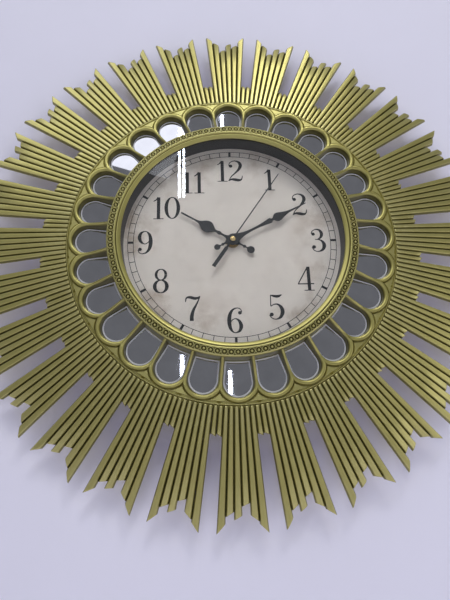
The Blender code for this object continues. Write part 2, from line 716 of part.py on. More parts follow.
def make_rear_pan():
    """The black pan that closes the back, holds the dial and rests on the wall."""
    flange_top = PETAL_FLOOR_BACK - GAP
    flange_bottom = flange_top - PAN_FLANGE
    floor_back = PAN_FLOOR_FRONT - PAN_WALL
    points = [
        (PAN_INNER_RADIUS, flange_top),
        (PAN_FLANGE_RADIUS, flange_top),
        (PAN_FLANGE_RADIUS, flange_bottom),
        (PAN_WALL_RADIUS, flange_bottom),
        (PAN_WALL_RADIUS, -WALL_DEPTH),
        (PAN_RIM_RADIUS, -WALL_DEPTH),
        (PAN_RIM_RADIUS, -WALL_DEPTH + PAN_WALL),
        (PAN_INNER_RADIUS, -WALL_DEPTH + PAN_WALL),
        (PAN_INNER_RADIUS, floor_back),
        (PAN_OPENING_RADIUS, floor_back),
        (PAN_OPENING_RADIUS, PAN_FLOOR_FRONT),
        (PAN_INNER_RADIUS, PAN_FLOOR_FRONT),
    ]
    pan = turned("rear_pan", points, BLACK_PLASTIC)
    join(pan, stake(0, -1), stake(1, 1))
    for index in range(PAN_SCREWS):
        centre = clock_point(PAN_SCREW_CIRCLE, pan_screw_angle(index))
        cut(pan, rod(f"pan_screw_hole_{index}", PAN_SCREW_RADIUS + GAP, flange_bottom - MM,
                     flange_top + MM, centre=centre, steps=8))


def make_pan_screws():
    """The screws that hold the rear pan to the frame."""
    head_top = PETAL_FLOOR_BACK - 2 * GAP - PAN_FLANGE
    points = [
        (0, PETAL_FLOOR_BACK + PAN_SCREW_REACH),
        (PAN_SCREW_RADIUS, PETAL_FLOOR_BACK + PAN_SCREW_REACH),
        (PAN_SCREW_RADIUS, head_top),
        (PAN_SCREW_HEAD_RADIUS, head_top),
        (PAN_SCREW_HEAD_RADIUS, head_top - 0.5 * PAN_SCREW_HEAD),
        (0.55 * PAN_SCREW_HEAD_RADIUS, head_top - PAN_SCREW_HEAD),
        (0, head_top - PAN_SCREW_HEAD),
    ]
    for index in range(PAN_SCREWS):
        centre = clock_point(PAN_SCREW_CIRCLE, pan_screw_angle(index))
        turned(f"pan_screw_{index + 1}", points, STEEL, closed=False, steps=12,
               at=(centre.x, centre.y, 0))


def keyhole_outline():
    """A round hole with a slot above it, for the wall screw."""
    half = KEYHOLE_SLOT_WIDTH / 2
    start = math.acos(half / KEYHOLE_HEAD_RADIUS)
    middle = Vector((0, HANGER_RADIUS - KEYHOLE_LENGTH / 2))
    steps = 12
    sweep = TURN - (math.pi - 2 * start)
    points = [
        middle + polar(KEYHOLE_HEAD_RADIUS, math.pi - start + sweep * step / steps)
        for step in range(steps + 1)
    ]
    slot_end = middle + Vector((0, KEYHOLE_LENGTH - half))
    points += [slot_end + polar(half, math.pi * step / 6) for step in range(7)]
    return points


def make_hanger_plate():
    """The steel keyhole plate that hangs the clock on a wall screw."""
    high = -WALL_DEPTH + WALL_CLEARANCE + STAKE_HEAD + GAP + HANGER_THICKNESS
    edge = rectangle(-HANGER_WIDTH / 2, HANGER_RADIUS - HANGER_HEIGHT / 2,
                     HANGER_WIDTH / 2, HANGER_RADIUS + HANGER_HEIGHT / 2)
    holes = [
        circle(STAKE_RADIUS + GAP, 12, (side * STAKE_SPACING / 2, HANGER_RADIUS)) for side in (-1, 1)
    ]
    plate("hanger_plate", [edge, keyhole_outline(), *holes], high - HANGER_THICKNESS, high, STEEL)


# ---------------------------------------------------------------------------
# Movement case, battery, motor and circuit
# ---------------------------------------------------------------------------


def case_half(name, floor_low, floor_high, wall_end, look):
    """A tray: a floor with a wall around it."""
    half = CASE_SIZE / 2
    low, high = min(floor_low, wall_end), max(floor_high, wall_end)
    tray = box(name, (-half, CASE_BOTTOM, low), (half, half, high), look)
    room_low = floor_high if wall_end > floor_high else wall_end - MM
    room_high = floor_low if wall_end < floor_low else wall_end + MM
    cut(tray, box(f"{name}_room", (-CASE_INSIDE, BAY_TOP + CASE_FLOOR, room_low),
                  (CASE_INSIDE, CASE_INSIDE, room_high)))
    cut(tray, box(f"{name}_bay", (-CASE_INSIDE, BAY_BOTTOM, room_low), (CASE_INSIDE, BAY_TOP, room_high)))
    return tray


def bearing_hole(name, axis, low, high):
    """A hole in which an arbor's end turns."""
    return rod(name, BEARING_RADIUS, low, high, centre=axis, steps=8)


def make_front_case():
    """The dial side of the movement's case, with the threaded bush."""
    case = case_half("movement_front_case", CASE_INNER_FRONT, CASE_FRONT, MIDDLE_PLATE_TOP + GAP,
                     GREY_PLASTIC)
    join(case, rod("bush", BUSH_RADIUS, CASE_INNER_FRONT + 0.2 * MM, BUSH_HEIGHT, steps=SMALL_STEPS))
    cut(case, rod("bush_bore", BUSH_BORE, CASE_INNER_FRONT - MM, BUSH_HEIGHT + MM))
    for name, axis in (("third", THIRD_AXIS), ("setting", SETTING_AXIS)):
        cut(case, bearing_hole(f"{name}_front_bearing", axis, CASE_INNER_FRONT - MM,
                               CASE_INNER_FRONT + BEARING_DEPTH))


def make_back_case():
    """The back of the movement's case, open at the battery bay."""
    case = case_half("movement_back_case", CASE_BACK, CASE_INNER_BACK,
                     MIDDLE_PLATE_TOP - MIDDLE_PLATE - GAP, GREY_PLASTIC)
    opening_half = CASE_INSIDE - CASE_RIM
    cut(case, box("bay_opening", (-opening_half, BAY_BOTTOM, CASE_BACK - MM),
                  (opening_half, BAY_TOP, CASE_INNER_BACK + MM)))
    for name, axis in (("third", THIRD_AXIS), ("seconds", MAIN_AXIS),
                       ("intermediate", INTERMEDIATE_AXIS), ("rotor", ROTOR_AXIS)):
        cut(case, bearing_hole(f"{name}_back_bearing", axis, CASE_INNER_BACK - BEARING_DEPTH,
                               CASE_INNER_BACK + MM))
    cut(case, rod("knob_hole", ARBOR_RADIUS + RUNNING_GAP, CASE_BACK - MM, CASE_INNER_BACK + MM,
                  centre=SETTING_AXIS, steps=12))


def make_middle_plate():
    """The plate between the two halves of the case, with the holes for the arbors."""
    half = CASE_SIZE / 2
    third_hole = gear_tip(THIRD_PINION, THIRD_DISTANCE, CENTRE_WHEEL) + RUNNING_GAP
    holes = [
        rectangle(-CASE_INSIDE, BAY_BOTTOM, CASE_INSIDE, BAY_TOP),
        circle(SECONDS_ARBOR_RADIUS + RUNNING_GAP, 12),
        circle(third_hole, 12, THIRD_AXIS),
        circle(BEARING_RADIUS, 8, INTERMEDIATE_AXIS),
        circle(BEARING_RADIUS, 8, ROTOR_AXIS),
        circle(ARBOR_RADIUS + RUNNING_GAP, 12, SETTING_AXIS),
    ]
    plate("middle_plate", [rectangle(-half, CASE_BOTTOM, half, half), *holes],
          MIDDLE_PLATE_TOP - MIDDLE_PLATE, MIDDLE_PLATE_TOP, WHITE_NYLON)


def make_battery():
    """The battery, along x, with its positive end to the right. It lifts out towards the back."""
    nub_end = BATTERY_LENGTH / 2
    body_end = nub_end - BATTERY_NUB
    battery = rod("battery", BATTERY_RADIUS, -nub_end, body_end, BATTERY_JACKET,
                  centre=(BATTERY_Y, BATTERY_Z), along="X", steps=SMALL_STEPS)
    nub = rod("battery_nub", BATTERY_NUB_RADIUS, body_end - MM, nub_end,
              centre=(BATTERY_Y, BATTERY_Z), along="X", steps=12)
    join(battery, nub)


def make_battery_contacts():
    """The two contact plates at the battery's ends."""
    half = CONTACT_SIZE / 2
    for name, side in (("battery_contact_plus", 1), ("battery_contact_minus", -1)):
        outer = side * (CASE_INSIDE - GAP)
        inner = outer - side * CONTACT_THICKNESS
        box(name, (min(inner, outer), BATTERY_Y - half, BATTERY_Z - half),
            (max(inner, outer), BATTERY_Y + half, BATTERY_Z + half), BRASS)


def make_stator():
    """The motor's steel circuit: a bar with the rotor's hole, and a bar that carries the coil."""
    bar_half = STATOR_BAR / 2
    coil_side = COIL_LENGTH / 2 + GAP + MM
    left = COIL_X - coil_side
    hole = ROTOR_RADIUS + STATOR_AIR_GAP
    right = max(COIL_X + coil_side, ROTOR_AXIS.x + hole) + STATOR_MARGIN
    edge = rectangle(left - STATOR_MARGIN, ROTOR_AXIS.y - hole - MM, right, COIL_Y + bar_half)
    window_low = ROTOR_AXIS.y + hole + 0.4 * MM
    window = rectangle(left, window_low, COIL_X + coil_side, COIL_Y - bar_half)
    plate("stator", [edge, window, circle(hole, SMALL_STEPS, ROTOR_AXIS)],
          STATOR_TOP - STATOR_THICKNESS, STATOR_TOP, STEEL)


def make_coil():
    """The copper winding around the stator's upper bar."""
    middle = STATOR_TOP - STATOR_THICKNESS / 2
    centre = (COIL_Y, middle)
    start, end = COIL_X - COIL_LENGTH / 2, COIL_X + COIL_LENGTH / 2
    coil = rod("coil", COIL_RADIUS, start, end, COPPER, centre=centre, along="X")
    cut(coil, rod("coil_bore", COIL_BORE, start - MM, end + MM, centre=centre, along="X", steps=12))


def make_circuit_board():
    """The circuit board with its chip and its quartz crystal."""
    left = -CASE_INSIDE + BOARD_CLEARANCE
    bottom = BAY_TOP + CASE_FLOOR + BOARD_CLEARANCE
    back = CASE_INNER_BACK + BOARD_BACK_SPACE
    front = back + BOARD_THICKNESS
    board = box("circuit_board", (left, bottom, back), (left + BOARD_WIDTH, bottom + BOARD_HEIGHT, front),
                BOARD_GREEN)
    chip = rod("chip", CHIP_RADIUS, front - BOARD_THICKNESS / 4, front + CHIP_HEIGHT,
               centre=(left + 0.36 * BOARD_WIDTH, bottom + 0.29 * BOARD_HEIGHT), steps=12)
    crystal_left = left + (BOARD_WIDTH - CRYSTAL_LENGTH) / 2
    crystal = rod("crystal", CRYSTAL_RADIUS, crystal_left, crystal_left + CRYSTAL_LENGTH,
                  centre=(bottom + 0.74 * BOARD_HEIGHT, front + 0.7 * CRYSTAL_RADIUS), steps=8, along="X")
    join(board, chip, crystal)


# ---------------------------------------------------------------------------
# Wheels
# ---------------------------------------------------------------------------


def gear_outline(teeth, distance, partner, towards, gap_towards):
    """A gear's outline. Towards its partner's direction it shows a tooth, or a gap between teeth."""
    tip = gear_tip(teeth, distance, partner)
    root = tip - (ADDENDUM + DEDENDUM) * gear_module(teeth, distance, partner)
    pitch = TURN / teeth
    root_half = TOOTH_HALF_WIDTH * pitch
    shift = pitch / 2 if gap_towards else 0.0
    outline = []
    for tooth in range(teeth):
        middle = towards + shift + tooth * pitch
        outline.append(polar(root, middle - root_half))
        outline.append(polar(tip, middle))
        outline.append(polar(root, middle + root_half))
    return outline


def wheel(name, outline, top, look, at=MAIN_AXIS, thickness=WHEEL_THICKNESS):
    """A toothed wheel whose front face is at a height."""
    return plate(name, [outline], top - thickness, top, look, at=(at.x, at.y, 0))


def pinion_on(name, outline, partner_top, own_top, at):
    """A wheel's pinion, from inside the wheel to just past the partner that it meshes with."""
    top = partner_top + PINION_PROUD
    return wheel(name, outline, top, None, at, thickness=top - own_top + PINION_OVERLAP)


def add_tube(obj, bore, radius, low, high):
    """Give a wheel on the hands' axis a tube between two heights, and bore it through."""
    join(obj, rod(f"{obj.name}_tube", radius, low, high))
    cut(obj, rod(f"{obj.name}_bore", bore, low - 2 * MM, high + MM))


def arbor_end_front():
    """Where an arbor ends in the front case's bearings."""
    return CASE_INNER_FRONT + BEARING_DEPTH - GAP


def arbor_end_back():
    """Where an arbor ends in the back case's bearings."""
    return CASE_INNER_BACK - BEARING_DEPTH + GAP


def make_hour_wheel():
    """The hour wheel, whose pipe carries the hour hand."""
    outline = gear_outline(HOUR_WHEEL, SETTING_DISTANCE, SETTING_PINION, SETTING_DIRECTION, False)
    hour = wheel("hour_wheel", outline, HOUR_WHEEL_TOP, WHITE_NYLON)
    add_tube(hour, HOUR_PIPE_BORE, HOUR_PIPE_RADIUS, HOUR_WHEEL_TOP - WHEEL_THICKNESS / 2,
             HOUR_HAND_HEIGHT + HAND_THICKNESS + TUBE_PROUD)


def make_cannon_pinion():
    """The pinion of the minute hand's tube. The centre wheel drives it through a friction clutch."""
    outline = gear_outline(CANNON_PINION, SETTING_DISTANCE, SETTING_WHEEL, SETTING_DIRECTION, False)
    cannon = wheel("cannon_pinion", outline, SETTING_WHEEL_TOP + PINION_PROUD, BRASS,
                   thickness=WHEEL_THICKNESS + 2 * PINION_PROUD)
    add_tube(cannon, CANNON_BORE, CANNON_RADIUS, CENTRE_WHEEL_TOP - WHEEL_THICKNESS,
             MINUTE_HAND_HEIGHT + HAND_THICKNESS + TUBE_PROUD)


def make_setting_wheel():
    """The wheel and pinion between the cannon pinion and the hour wheel, on the knob's arbor."""
    facing = SETTING_DIRECTION + math.pi
    outline = gear_outline(SETTING_WHEEL, SETTING_DISTANCE, CANNON_PINION, facing, True)
    setting = wheel("setting_wheel", outline, SETTING_WHEEL_TOP, WHITE_NYLON, at=SETTING_AXIS)
    pinion = gear_outline(SETTING_PINION, SETTING_DISTANCE, HOUR_WHEEL, facing, True)
    join(setting,
         pinion_on("setting_pinion", pinion, HOUR_WHEEL_TOP, SETTING_WHEEL_TOP, SETTING_AXIS),
         rod("setting_arbor", ARBOR_RADIUS, CASE_BACK + GAP, arbor_end_front(), centre=SETTING_AXIS,
             steps=8))


def make_centre_wheel():
    """The wheel that the train turns once an hour."""
    outline = gear_outline(CENTRE_WHEEL, THIRD_DISTANCE, THIRD_PINION, THIRD_DIRECTION, False)
    plate("centre_wheel", [outline, circle(CANNON_RADIUS + RUNNING_GAP)],
          CENTRE_WHEEL_TOP - WHEEL_THICKNESS, CENTRE_WHEEL_TOP, BRASS)


def make_third_wheel():
    """The wheel and pinion between the seconds wheel and the centre wheel."""
    facing = THIRD_DIRECTION + math.pi
    outline = gear_outline(THIRD_WHEEL, THIRD_DISTANCE, SECONDS_PINION, facing, True)
    third = wheel("third_wheel", outline, THIRD_WHEEL_TOP, WHITE_NYLON, at=THIRD_AXIS)
    pinion = gear_outline(THIRD_PINION, THIRD_DISTANCE, CENTRE_WHEEL, facing, True)
    join(third,
         pinion_on("third_pinion", pinion, CENTRE_WHEEL_TOP, THIRD_WHEEL_TOP, THIRD_AXIS),
         rod("third_arbor", ARBOR_RADIUS, arbor_end_back(), arbor_end_front(), centre=THIRD_AXIS, steps=8))


def make_seconds_wheel():
    """The wheel that turns once a minute, whose arbor carries the second hand."""
    outline = gear_outline(SECONDS_WHEEL, INTERMEDIATE_DISTANCE, INTERMEDIATE_PINION,
                           INTERMEDIATE_DIRECTION, False)
    seconds = wheel("seconds_wheel", outline, SECONDS_WHEEL_TOP, WHITE_NYLON)
    pinion = gear_outline(SECONDS_PINION, THIRD_DISTANCE, THIRD_WHEEL, THIRD_DIRECTION, False)
    join(seconds,
         pinion_on("seconds_pinion", pinion, THIRD_WHEEL_TOP, SECONDS_WHEEL_TOP, MAIN_AXIS),
         rod("seconds_arbor", SECONDS_ARBOR_RADIUS, arbor_end_back(),
             SECOND_HAND_HEIGHT + SECOND_HAND_THICKNESS, steps=10))


def make_intermediate_wheel():
    """The wheel and pinion between the rotor and the seconds wheel."""
    outline = gear_outline(INTERMEDIATE_WHEEL, ROTOR_DISTANCE, ROTOR_PINION, ROTOR_DIRECTION, True)
    intermediate = wheel("intermediate_wheel", outline, INTERMEDIATE_WHEEL_TOP, WHITE_NYLON,
                         at=INTERMEDIATE_AXIS)
    facing = INTERMEDIATE_DIRECTION + math.pi
    pinion = gear_outline(INTERMEDIATE_PINION, INTERMEDIATE_DISTANCE, SECONDS_WHEEL, facing, True)
    join(intermediate,
         pinion_on("intermediate_pinion", pinion, SECONDS_WHEEL_TOP, INTERMEDIATE_WHEEL_TOP,
                   INTERMEDIATE_AXIS),
         rod("intermediate_arbor", ARBOR_RADIUS, arbor_end_back(), MIDDLE_PLATE_TOP - ARBOR_SINK,
             centre=INTERMEDIATE_AXIS, steps=8))


def make_rotor():
    """The stepping motor's magnet with its pinion."""
    rotor = rod("rotor", ROTOR_RADIUS, ROTOR_TOP - ROTOR_LENGTH, ROTOR_TOP, STEEL, centre=ROTOR_AXIS)
    pinion = gear_outline(ROTOR_PINION, ROTOR_DISTANCE, INTERMEDIATE_WHEEL, ROTOR_DIRECTION + math.pi,
                          False)
    join(rotor,
         pinion_on("rotor_pinion", pinion, INTERMEDIATE_WHEEL_TOP, ROTOR_TOP, ROTOR_AXIS),
         rod("rotor_arbor", ARBOR_RADIUS, arbor_end_back(), MIDDLE_PLATE_TOP - ARBOR_SINK,
             centre=ROTOR_AXIS, steps=8))


def make_set_knob():
    """The knob that sets the hands, on the setting wheel's arbor behind the case."""
    outline = []
    for grip in range(KNOB_GRIPS):
        outline.append(polar(KNOB_RADIUS, TURN * grip / KNOB_GRIPS))
        outline.append(polar(0.88 * KNOB_RADIUS, TURN * (grip + 0.5) / KNOB_GRIPS))
    top = CASE_BACK - GAP
    knob = plate("set_knob", [outline], top - KNOB_THICKNESS, top, GREY_PLASTIC,
                 at=(SETTING_AXIS.x, SETTING_AXIS.y, 0))
    socket_end = top - 0.6 * KNOB_THICKNESS
    cut(knob, rod("knob_socket", ARBOR_RADIUS + GAP, socket_end, top + MM, centre=SETTING_AXIS, steps=8))


# ---------------------------------------------------------------------------
# Nut, washer and hands
# ---------------------------------------------------------------------------


def make_nut_and_washer():
    """The washer and the nut that clamp the movement's bush to the dial."""
    hole = BUSH_RADIUS + GAP
    washer_top = GAP + WASHER_THICKNESS
    turned("brass_washer", [(hole, washer_top), (WASHER_RADIUS, washer_top), (WASHER_RADIUS, GAP),
                            (hole, GAP)], BRASS, steps=24)
    corner = NUT_ACROSS_FLATS / 2 / math.cos(math.pi / 6)
    plate("hex_nut", [circle(corner, 6), circle(hole)], washer_top + GAP,
          washer_top + GAP + NUT_THICKNESS, BRASS)


def counterweight(centre, radius, neck, hub):
    """The lower part of a hand: a round weight on a short beaded neck, up to the hub."""
    points = [(0, centre - radius)]
    for step in range(1, 7):
        swing = math.pi * step / 7
        points.append((radius * math.sin(swing), centre - radius * math.cos(swing)))
    bead = (centre + radius - hub) / 2
    points += [(neck, centre + radius), (1.7 * neck, bead), (neck, bead + 2.5 * neck)]
    return points


def hub_side(hub, start, end):
    """The right side of a hand's round hub, from one slope to another."""
    return [
        (hub * math.cos(start + (end - start) * step / 4), hub * math.sin(start + (end - start) * step / 4))
        for step in range(5)
    ]


def hour_hand_half():
    """The right half of the hour hand, pointing at 12: weight, hub, beaded neck, spade, tip."""
    hub = 6.2 * MM
    spade = 0.49 * HOUR_HAND_LENGTH
    spade_half = 7.0 * MM
    bar_half = 1.05 * MM
    points = counterweight(-23.2 * MM, 4.2 * MM, 0.9 * MM, hub)
    points += hub_side(hub, math.radians(-70), math.radians(62))
    points += [
        (1.6 * MM, 0.20 * HOUR_HAND_LENGTH),
        (2.1 * MM, 0.265 * HOUR_HAND_LENGTH),
        (1.6 * MM, 0.33 * HOUR_HAND_LENGTH),
        (2.4 * MM, spade - 1.45 * spade_half),
        (0.86 * spade_half, spade - 0.62 * spade_half),
        (spade_half, spade),
        (0.86 * spade_half, spade + 0.5 * spade_half),
        (0.40 * spade_half, spade + 1.15 * spade_half),
        (1.3 * MM, spade + 1.8 * spade_half),
        (bar_half, spade + 2.3 * spade_half),
        (bar_half, HOUR_HAND_LENGTH),
    ]
    return points


def minute_hand_half():
    """The right half of the minute hand, pointing at 12: weight, hub, flared arm, spade, tip."""
    hub = 6.6 * MM
    neck_end = 0.56 * MINUTE_HAND_LENGTH
    spade = 0.61 * MINUTE_HAND_LENGTH
    spade_half = 5.3 * MM
    points = counterweight(-19.8 * MM, 3.5 * MM, 0.9 * MM, hub)
    points += hub_side(hub, math.radians(-70), math.radians(40))
    points += [
        (3.4 * MM, 0.12 * MINUTE_HAND_LENGTH),
        (1.9 * MM, 0.19 * MINUTE_HAND_LENGTH),
        (1.4 * MM, 0.27 * MINUTE_HAND_LENGTH),
        (1.9 * MM, 0.37 * MINUTE_HAND_LENGTH),
        (3.2 * MM, 0.505 * MINUTE_HAND_LENGTH),
        (1.5 * MM, 0.528 * MINUTE_HAND_LENGTH),
        (1.5 * MM, neck_end),
        (0.8 * spade_half, neck_end + 2.0 * MM),
        (spade_half, spade),
        (0.8 * spade_half, spade + 4.0 * MM),
        (0.35 * spade_half, spade + 13.0 * MM),
        (0.8 * MM, spade + 21.0 * MM),
        (0.4 * MM, MINUTE_HAND_LENGTH),
    ]
    return points


def make_hands():
    """The three hands, each turned to its place at rest."""
    plate("hour_hand", [mirrored_outline(hour_hand_half()), circle(HOUR_PIPE_RADIUS + GAP)],
          HOUR_HAND_HEIGHT, HOUR_HAND_HEIGHT + HAND_THICKNESS, BLACK_HAND, turn=-HOUR_HAND_ANGLE)
    plate("minute_hand", [mirrored_outline(minute_hand_half()), circle(CANNON_RADIUS + GAP)],
          MINUTE_HAND_HEIGHT, MINUTE_HAND_HEIGHT + HAND_THICKNESS, BLACK_HAND, turn=-MINUTE_HAND_ANGLE)
    needle, tail = 0.5 * MM, 2.0 * MM
    half = [
        (tail, -SECOND_TAIL_LENGTH),
        (tail, -0.32 * SECOND_TAIL_LENGTH),
        (0.5 * tail, -0.26 * SECOND_TAIL_LENGTH),
        (0.5 * tail, -BOSS_RADIUS),
        (needle, BOSS_RADIUS),
        (needle, SECOND_HAND_LENGTH),
    ]
    top = SECOND_HAND_HEIGHT + SECOND_HAND_THICKNESS
    hand = plate("second_hand", [mirrored_outline(half)], SECOND_HAND_HEIGHT, top, BLACK_HAND,
                 turn=-SECOND_HAND_ANGLE)
    boss_top = top + BOSS_HEIGHT
    boss = [
        (0, boss_top),
        (0.6 * BOSS_RADIUS, top + 0.85 * BOSS_HEIGHT),
        (0.95 * BOSS_RADIUS, top + 0.3 * BOSS_HEIGHT),
        (BOSS_RADIUS, top - SECOND_HAND_THICKNESS / 2),
        (0, top - SECOND_HAND_THICKNESS / 2),
    ]
    join(hand, turned("boss", boss, closed=False, steps=12))
    cut(hand, rod("boss_socket", SECONDS_ARBOR_RADIUS + GAP, SECOND_HAND_HEIGHT - MM, top + GAP, steps=10))


def main():
    """Build every piece."""
    make_sunburst_frame()
    make_mirror_petals()
    make_lens()
    make_spacer_ring()
    make_dial()
    make_rear_pan()
    make_pan_screws()
    make_hanger_plate()
    make_front_case()
    make_middle_plate()
    make_back_case()
    make_battery()
    make_battery_contacts()
    make_stator()
    make_coil()
    make_circuit_board()
    make_rotor()
    make_intermediate_wheel()
    make_seconds_wheel()
    make_third_wheel()
    make_centre_wheel()
    make_cannon_pinion()
    make_setting_wheel()
    make_hour_wheel()
    make_set_knob()
    make_nut_and_washer()
    make_hands()


main()
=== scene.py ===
"""The sunburst wall clock's visible pieces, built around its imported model."""

import math

import bmesh
import bpy
from mathutils import Matrix, Vector


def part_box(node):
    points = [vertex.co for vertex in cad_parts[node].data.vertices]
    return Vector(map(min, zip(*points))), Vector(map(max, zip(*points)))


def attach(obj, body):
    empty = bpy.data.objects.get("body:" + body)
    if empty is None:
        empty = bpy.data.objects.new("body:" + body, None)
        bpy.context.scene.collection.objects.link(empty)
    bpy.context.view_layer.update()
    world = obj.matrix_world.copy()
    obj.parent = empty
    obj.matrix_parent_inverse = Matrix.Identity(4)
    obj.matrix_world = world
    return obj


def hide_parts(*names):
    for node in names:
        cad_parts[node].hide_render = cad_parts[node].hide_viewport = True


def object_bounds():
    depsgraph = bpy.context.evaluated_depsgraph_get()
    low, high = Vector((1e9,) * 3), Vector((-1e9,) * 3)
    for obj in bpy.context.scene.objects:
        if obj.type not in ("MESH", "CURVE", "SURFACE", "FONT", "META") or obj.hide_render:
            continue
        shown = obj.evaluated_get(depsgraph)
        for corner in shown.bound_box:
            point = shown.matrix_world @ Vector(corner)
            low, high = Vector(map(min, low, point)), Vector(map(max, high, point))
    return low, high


bl_info = {
    "name": "Sunburst Wall Clock",
    "version": (1, 0, 0),
    "blender": (4, 5, 0),
    "location": "View3D > Sidebar > Clock",
    "description": "Builds the detailed pieces of a sunburst wall clock with mirror petals",
    "category": "Object",
}

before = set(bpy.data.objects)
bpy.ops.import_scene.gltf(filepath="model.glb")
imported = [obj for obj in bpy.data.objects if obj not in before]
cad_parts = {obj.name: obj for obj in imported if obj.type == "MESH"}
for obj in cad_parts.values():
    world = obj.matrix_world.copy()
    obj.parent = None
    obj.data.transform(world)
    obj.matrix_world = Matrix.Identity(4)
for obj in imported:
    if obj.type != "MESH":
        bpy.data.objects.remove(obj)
CAD_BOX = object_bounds()

MM = 0.001
TURN = 2 * math.pi


# ---- Sizes, some taken from the imported model, in millimetres ----


def reach(node):
    """A node's smallest and largest distance from the hands' axis."""
    radii = [math.hypot(v.co.x, v.co.z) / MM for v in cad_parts[node].data.vertices]
    return min(radii), max(radii)


DIAL_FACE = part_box("dial")[0].y


def heights(node):
    """A node's back and front, as heights in front of the dial's face."""
    low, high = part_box(node)
    return (DIAL_FACE - high.y) / MM, (DIAL_FACE - low.y) / MM


def middle_of(node):
    """The middle of a node, as x, y and height."""
    low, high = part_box(node)
    middle = (low + high) / 2
    return middle.x / MM, middle.z / MM, (DIAL_FACE - middle.y) / MM


MIRROR_NODES = sorted(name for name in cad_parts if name.startswith("mirror_petal_"))
SCREW_NODES = sorted(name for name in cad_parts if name.startswith("pan_screw_"))
PETALS = len(MIRROR_NODES)
HALF_PITCH = TURN / PETALS / 2
WINDOW, TIP = reach("sunburst_frame")
DIAL_HOLE, DIAL_EDGE = reach("dial")
BEZEL_TOP = heights("sunburst_frame")[1]
BEZEL_WIDTH = 15.1
BEZEL_OUTER = WINDOW + BEZEL_WIDTH
MIRROR_GAP = 0.4  # between a mirror and its petal's wall
PETAL_TIP = reach(MIRROR_NODES[0])[1] + MIRROR_GAP
RIB_HALF = 2.2  # half the width of the rib between two petals
# The round outer end of a petal: its radius, and its centre's distance from the hands' axis
ARCH = (PETAL_TIP * math.tan(HALF_PITCH) - RIB_HALF) / (1 + math.tan(HALF_PITCH))
ARCH_CENTRE = PETAL_TIP - ARCH
MIRROR_BACK, MIRROR_FRONT = heights(MIRROR_NODES[0])
FLOOR_BACK, FLOOR_TOP = 0.5, 2.5  # the petals' floor
BASELINE = PETAL_TIP + 6.2  # inner edge of the ridge at the rays' roots
BAR_ROOT = PETAL_TIP + 8.2  # where the bars begin, under that ridge
RAY_ROOT = PETAL_TIP + 9.6
RAY_DEPTH = 4.5
RAY_ROOT_HEIGHT = 9.0
RAY_TIP_HEIGHT = -4.0
SHORT_BAR_END = RAY_ROOT + 28.2
BARS_IN_GROUP = 8
BARS = BARS_IN_GROUP * PETALS
# How far each long bar's end falls short of the tips, on its two edges, going clockwise
LONG_BAR_ENDS = ((0.0, 9.0), (10.8, 17.0), (28.0, 25.0), (17.0, 13.0), (20.4, 15.8), (9.6, 0.0))
SHORT_BAR_SLANT = 2.4
TRACK = 113.2  # middle radius of the dial's minute track
TRACK_LINES = (0.976 * TRACK, 1.031 * TRACK)


def length_property(label, note, value, low, high):
    """A size that a user may change, given in millimetres."""
    return bpy.props.FloatProperty(name=label, description=note, default=value * MM,
                                   min=low * MM, max=high * MM, unit="LENGTH")


class ClockSizes(bpy.types.PropertyGroup):
    """Sizes of the clock's details."""

    bead_radius: length_property("Bead Radius", "Radius of each bead on the bezel", 1.55, 0.5, 2.2)
    beads: bpy.props.IntProperty(
        name="Beads", description="Number of beads round the bezel", default=120, min=12, max=200)
    rim_width: length_property(
        "Rim Width", "Width of the rim round a petal's outer end", 5.8, 2, 6)
    rim_height: length_property(
        "Rim Height", "Height of the petal rims in front of the dial", 13.0, 8, 20)
    bar_groove: length_property(
        "Bar Groove", "Depth of the groove between two ray bars", 2.6, 0.2, 3.5)
    bar_bevel: length_property(
        "Bar Bevel", "Width of the slope along each edge of a ray bar", 1.5, 0.2, 2)
    mirror_bevel: length_property(
        "Mirror Bevel", "Width of the ground edge of each mirror", 1.5, 0.5, 5)
    numeral_height: length_property("Numeral Height", "Height of the hour numerals", 28.4, 10, 35)
    numeral_reach: length_property(
        "Numeral Reach", "Dial centre to the outer corner of each numeral", 106.4, 60, 109)


def colour_property(label, note, red, green, blue):
    """A colour that a user may change, given as it shows on a screen from 0 to 255."""
    linear = [((level / 255 + 0.055) / 1.055) ** 2.4 for level in (red, green, blue)]
    return bpy.props.FloatVectorProperty(
        name=label, description=note, subtype="COLOR", size=3, min=0, max=1, default=linear)


class ClockColours(bpy.types.PropertyGroup):
    """Colours of the clock's finishes."""

    gold: colour_property("Gold", "Main colour of the gold paint", 172, 164, 96)
    # painted shade: the gold's colour in its grooves, where shade falls
    gold_shade: colour_property("Gold Shade", "Gold paint in the grooves", 72, 66, 26)
    # worn edges, lightened also as painted highlight
    gold_worn: colour_property("Gold Edge", "Gold paint along worn edges", 232, 226, 170)
    dial: colour_property("Dial", "The dial's paper", 222, 212, 200)
    dial_stain: colour_property("Dial Stain", "Brown stains near the dial's edge", 150, 124, 98)
    ink: colour_property("Ink", "The dial's numerals and minute track", 10, 10, 14)
    hands: colour_property("Hands", "The hands' paint", 6, 7, 13)
    mirror: colour_property("Mirror", "The mirrors' silver", 172, 172, 176)
    recess: colour_property("Black Plastic", "The wall round the dial and the rear pan", 24, 23, 24)
    movement: colour_property("Movement Case", "The movement's plastic case", 58, 60, 64)
    jacket: colour_property("Battery Jacket", "The battery's printed jacket", 36, 52, 78)
    wall: colour_property("Wall", "The wall and the floor", 238, 236, 248)


def size(name):
    """One of the clock's detail sizes, in millimetres."""
    return getattr(bpy.context.scene.clock_sizes, name) / MM


def colours():
    """The clock's colours."""
    return bpy.context.scene.clock_colours


# ---- Mesh helpers ----
# Points are x towards 3 o'clock, y towards 12 o'clock and the height in front of the dial's face,
# in millimetres.


def angles(steps):
    """Equal steps of one whole turn."""
    return [TURN * step / steps for step in range(steps)]


def clock_point(radius, angle):
    """A point at a clockwise angle from 12 o'clock."""
    return radius * math.sin(angle), radius * math.cos(angle)


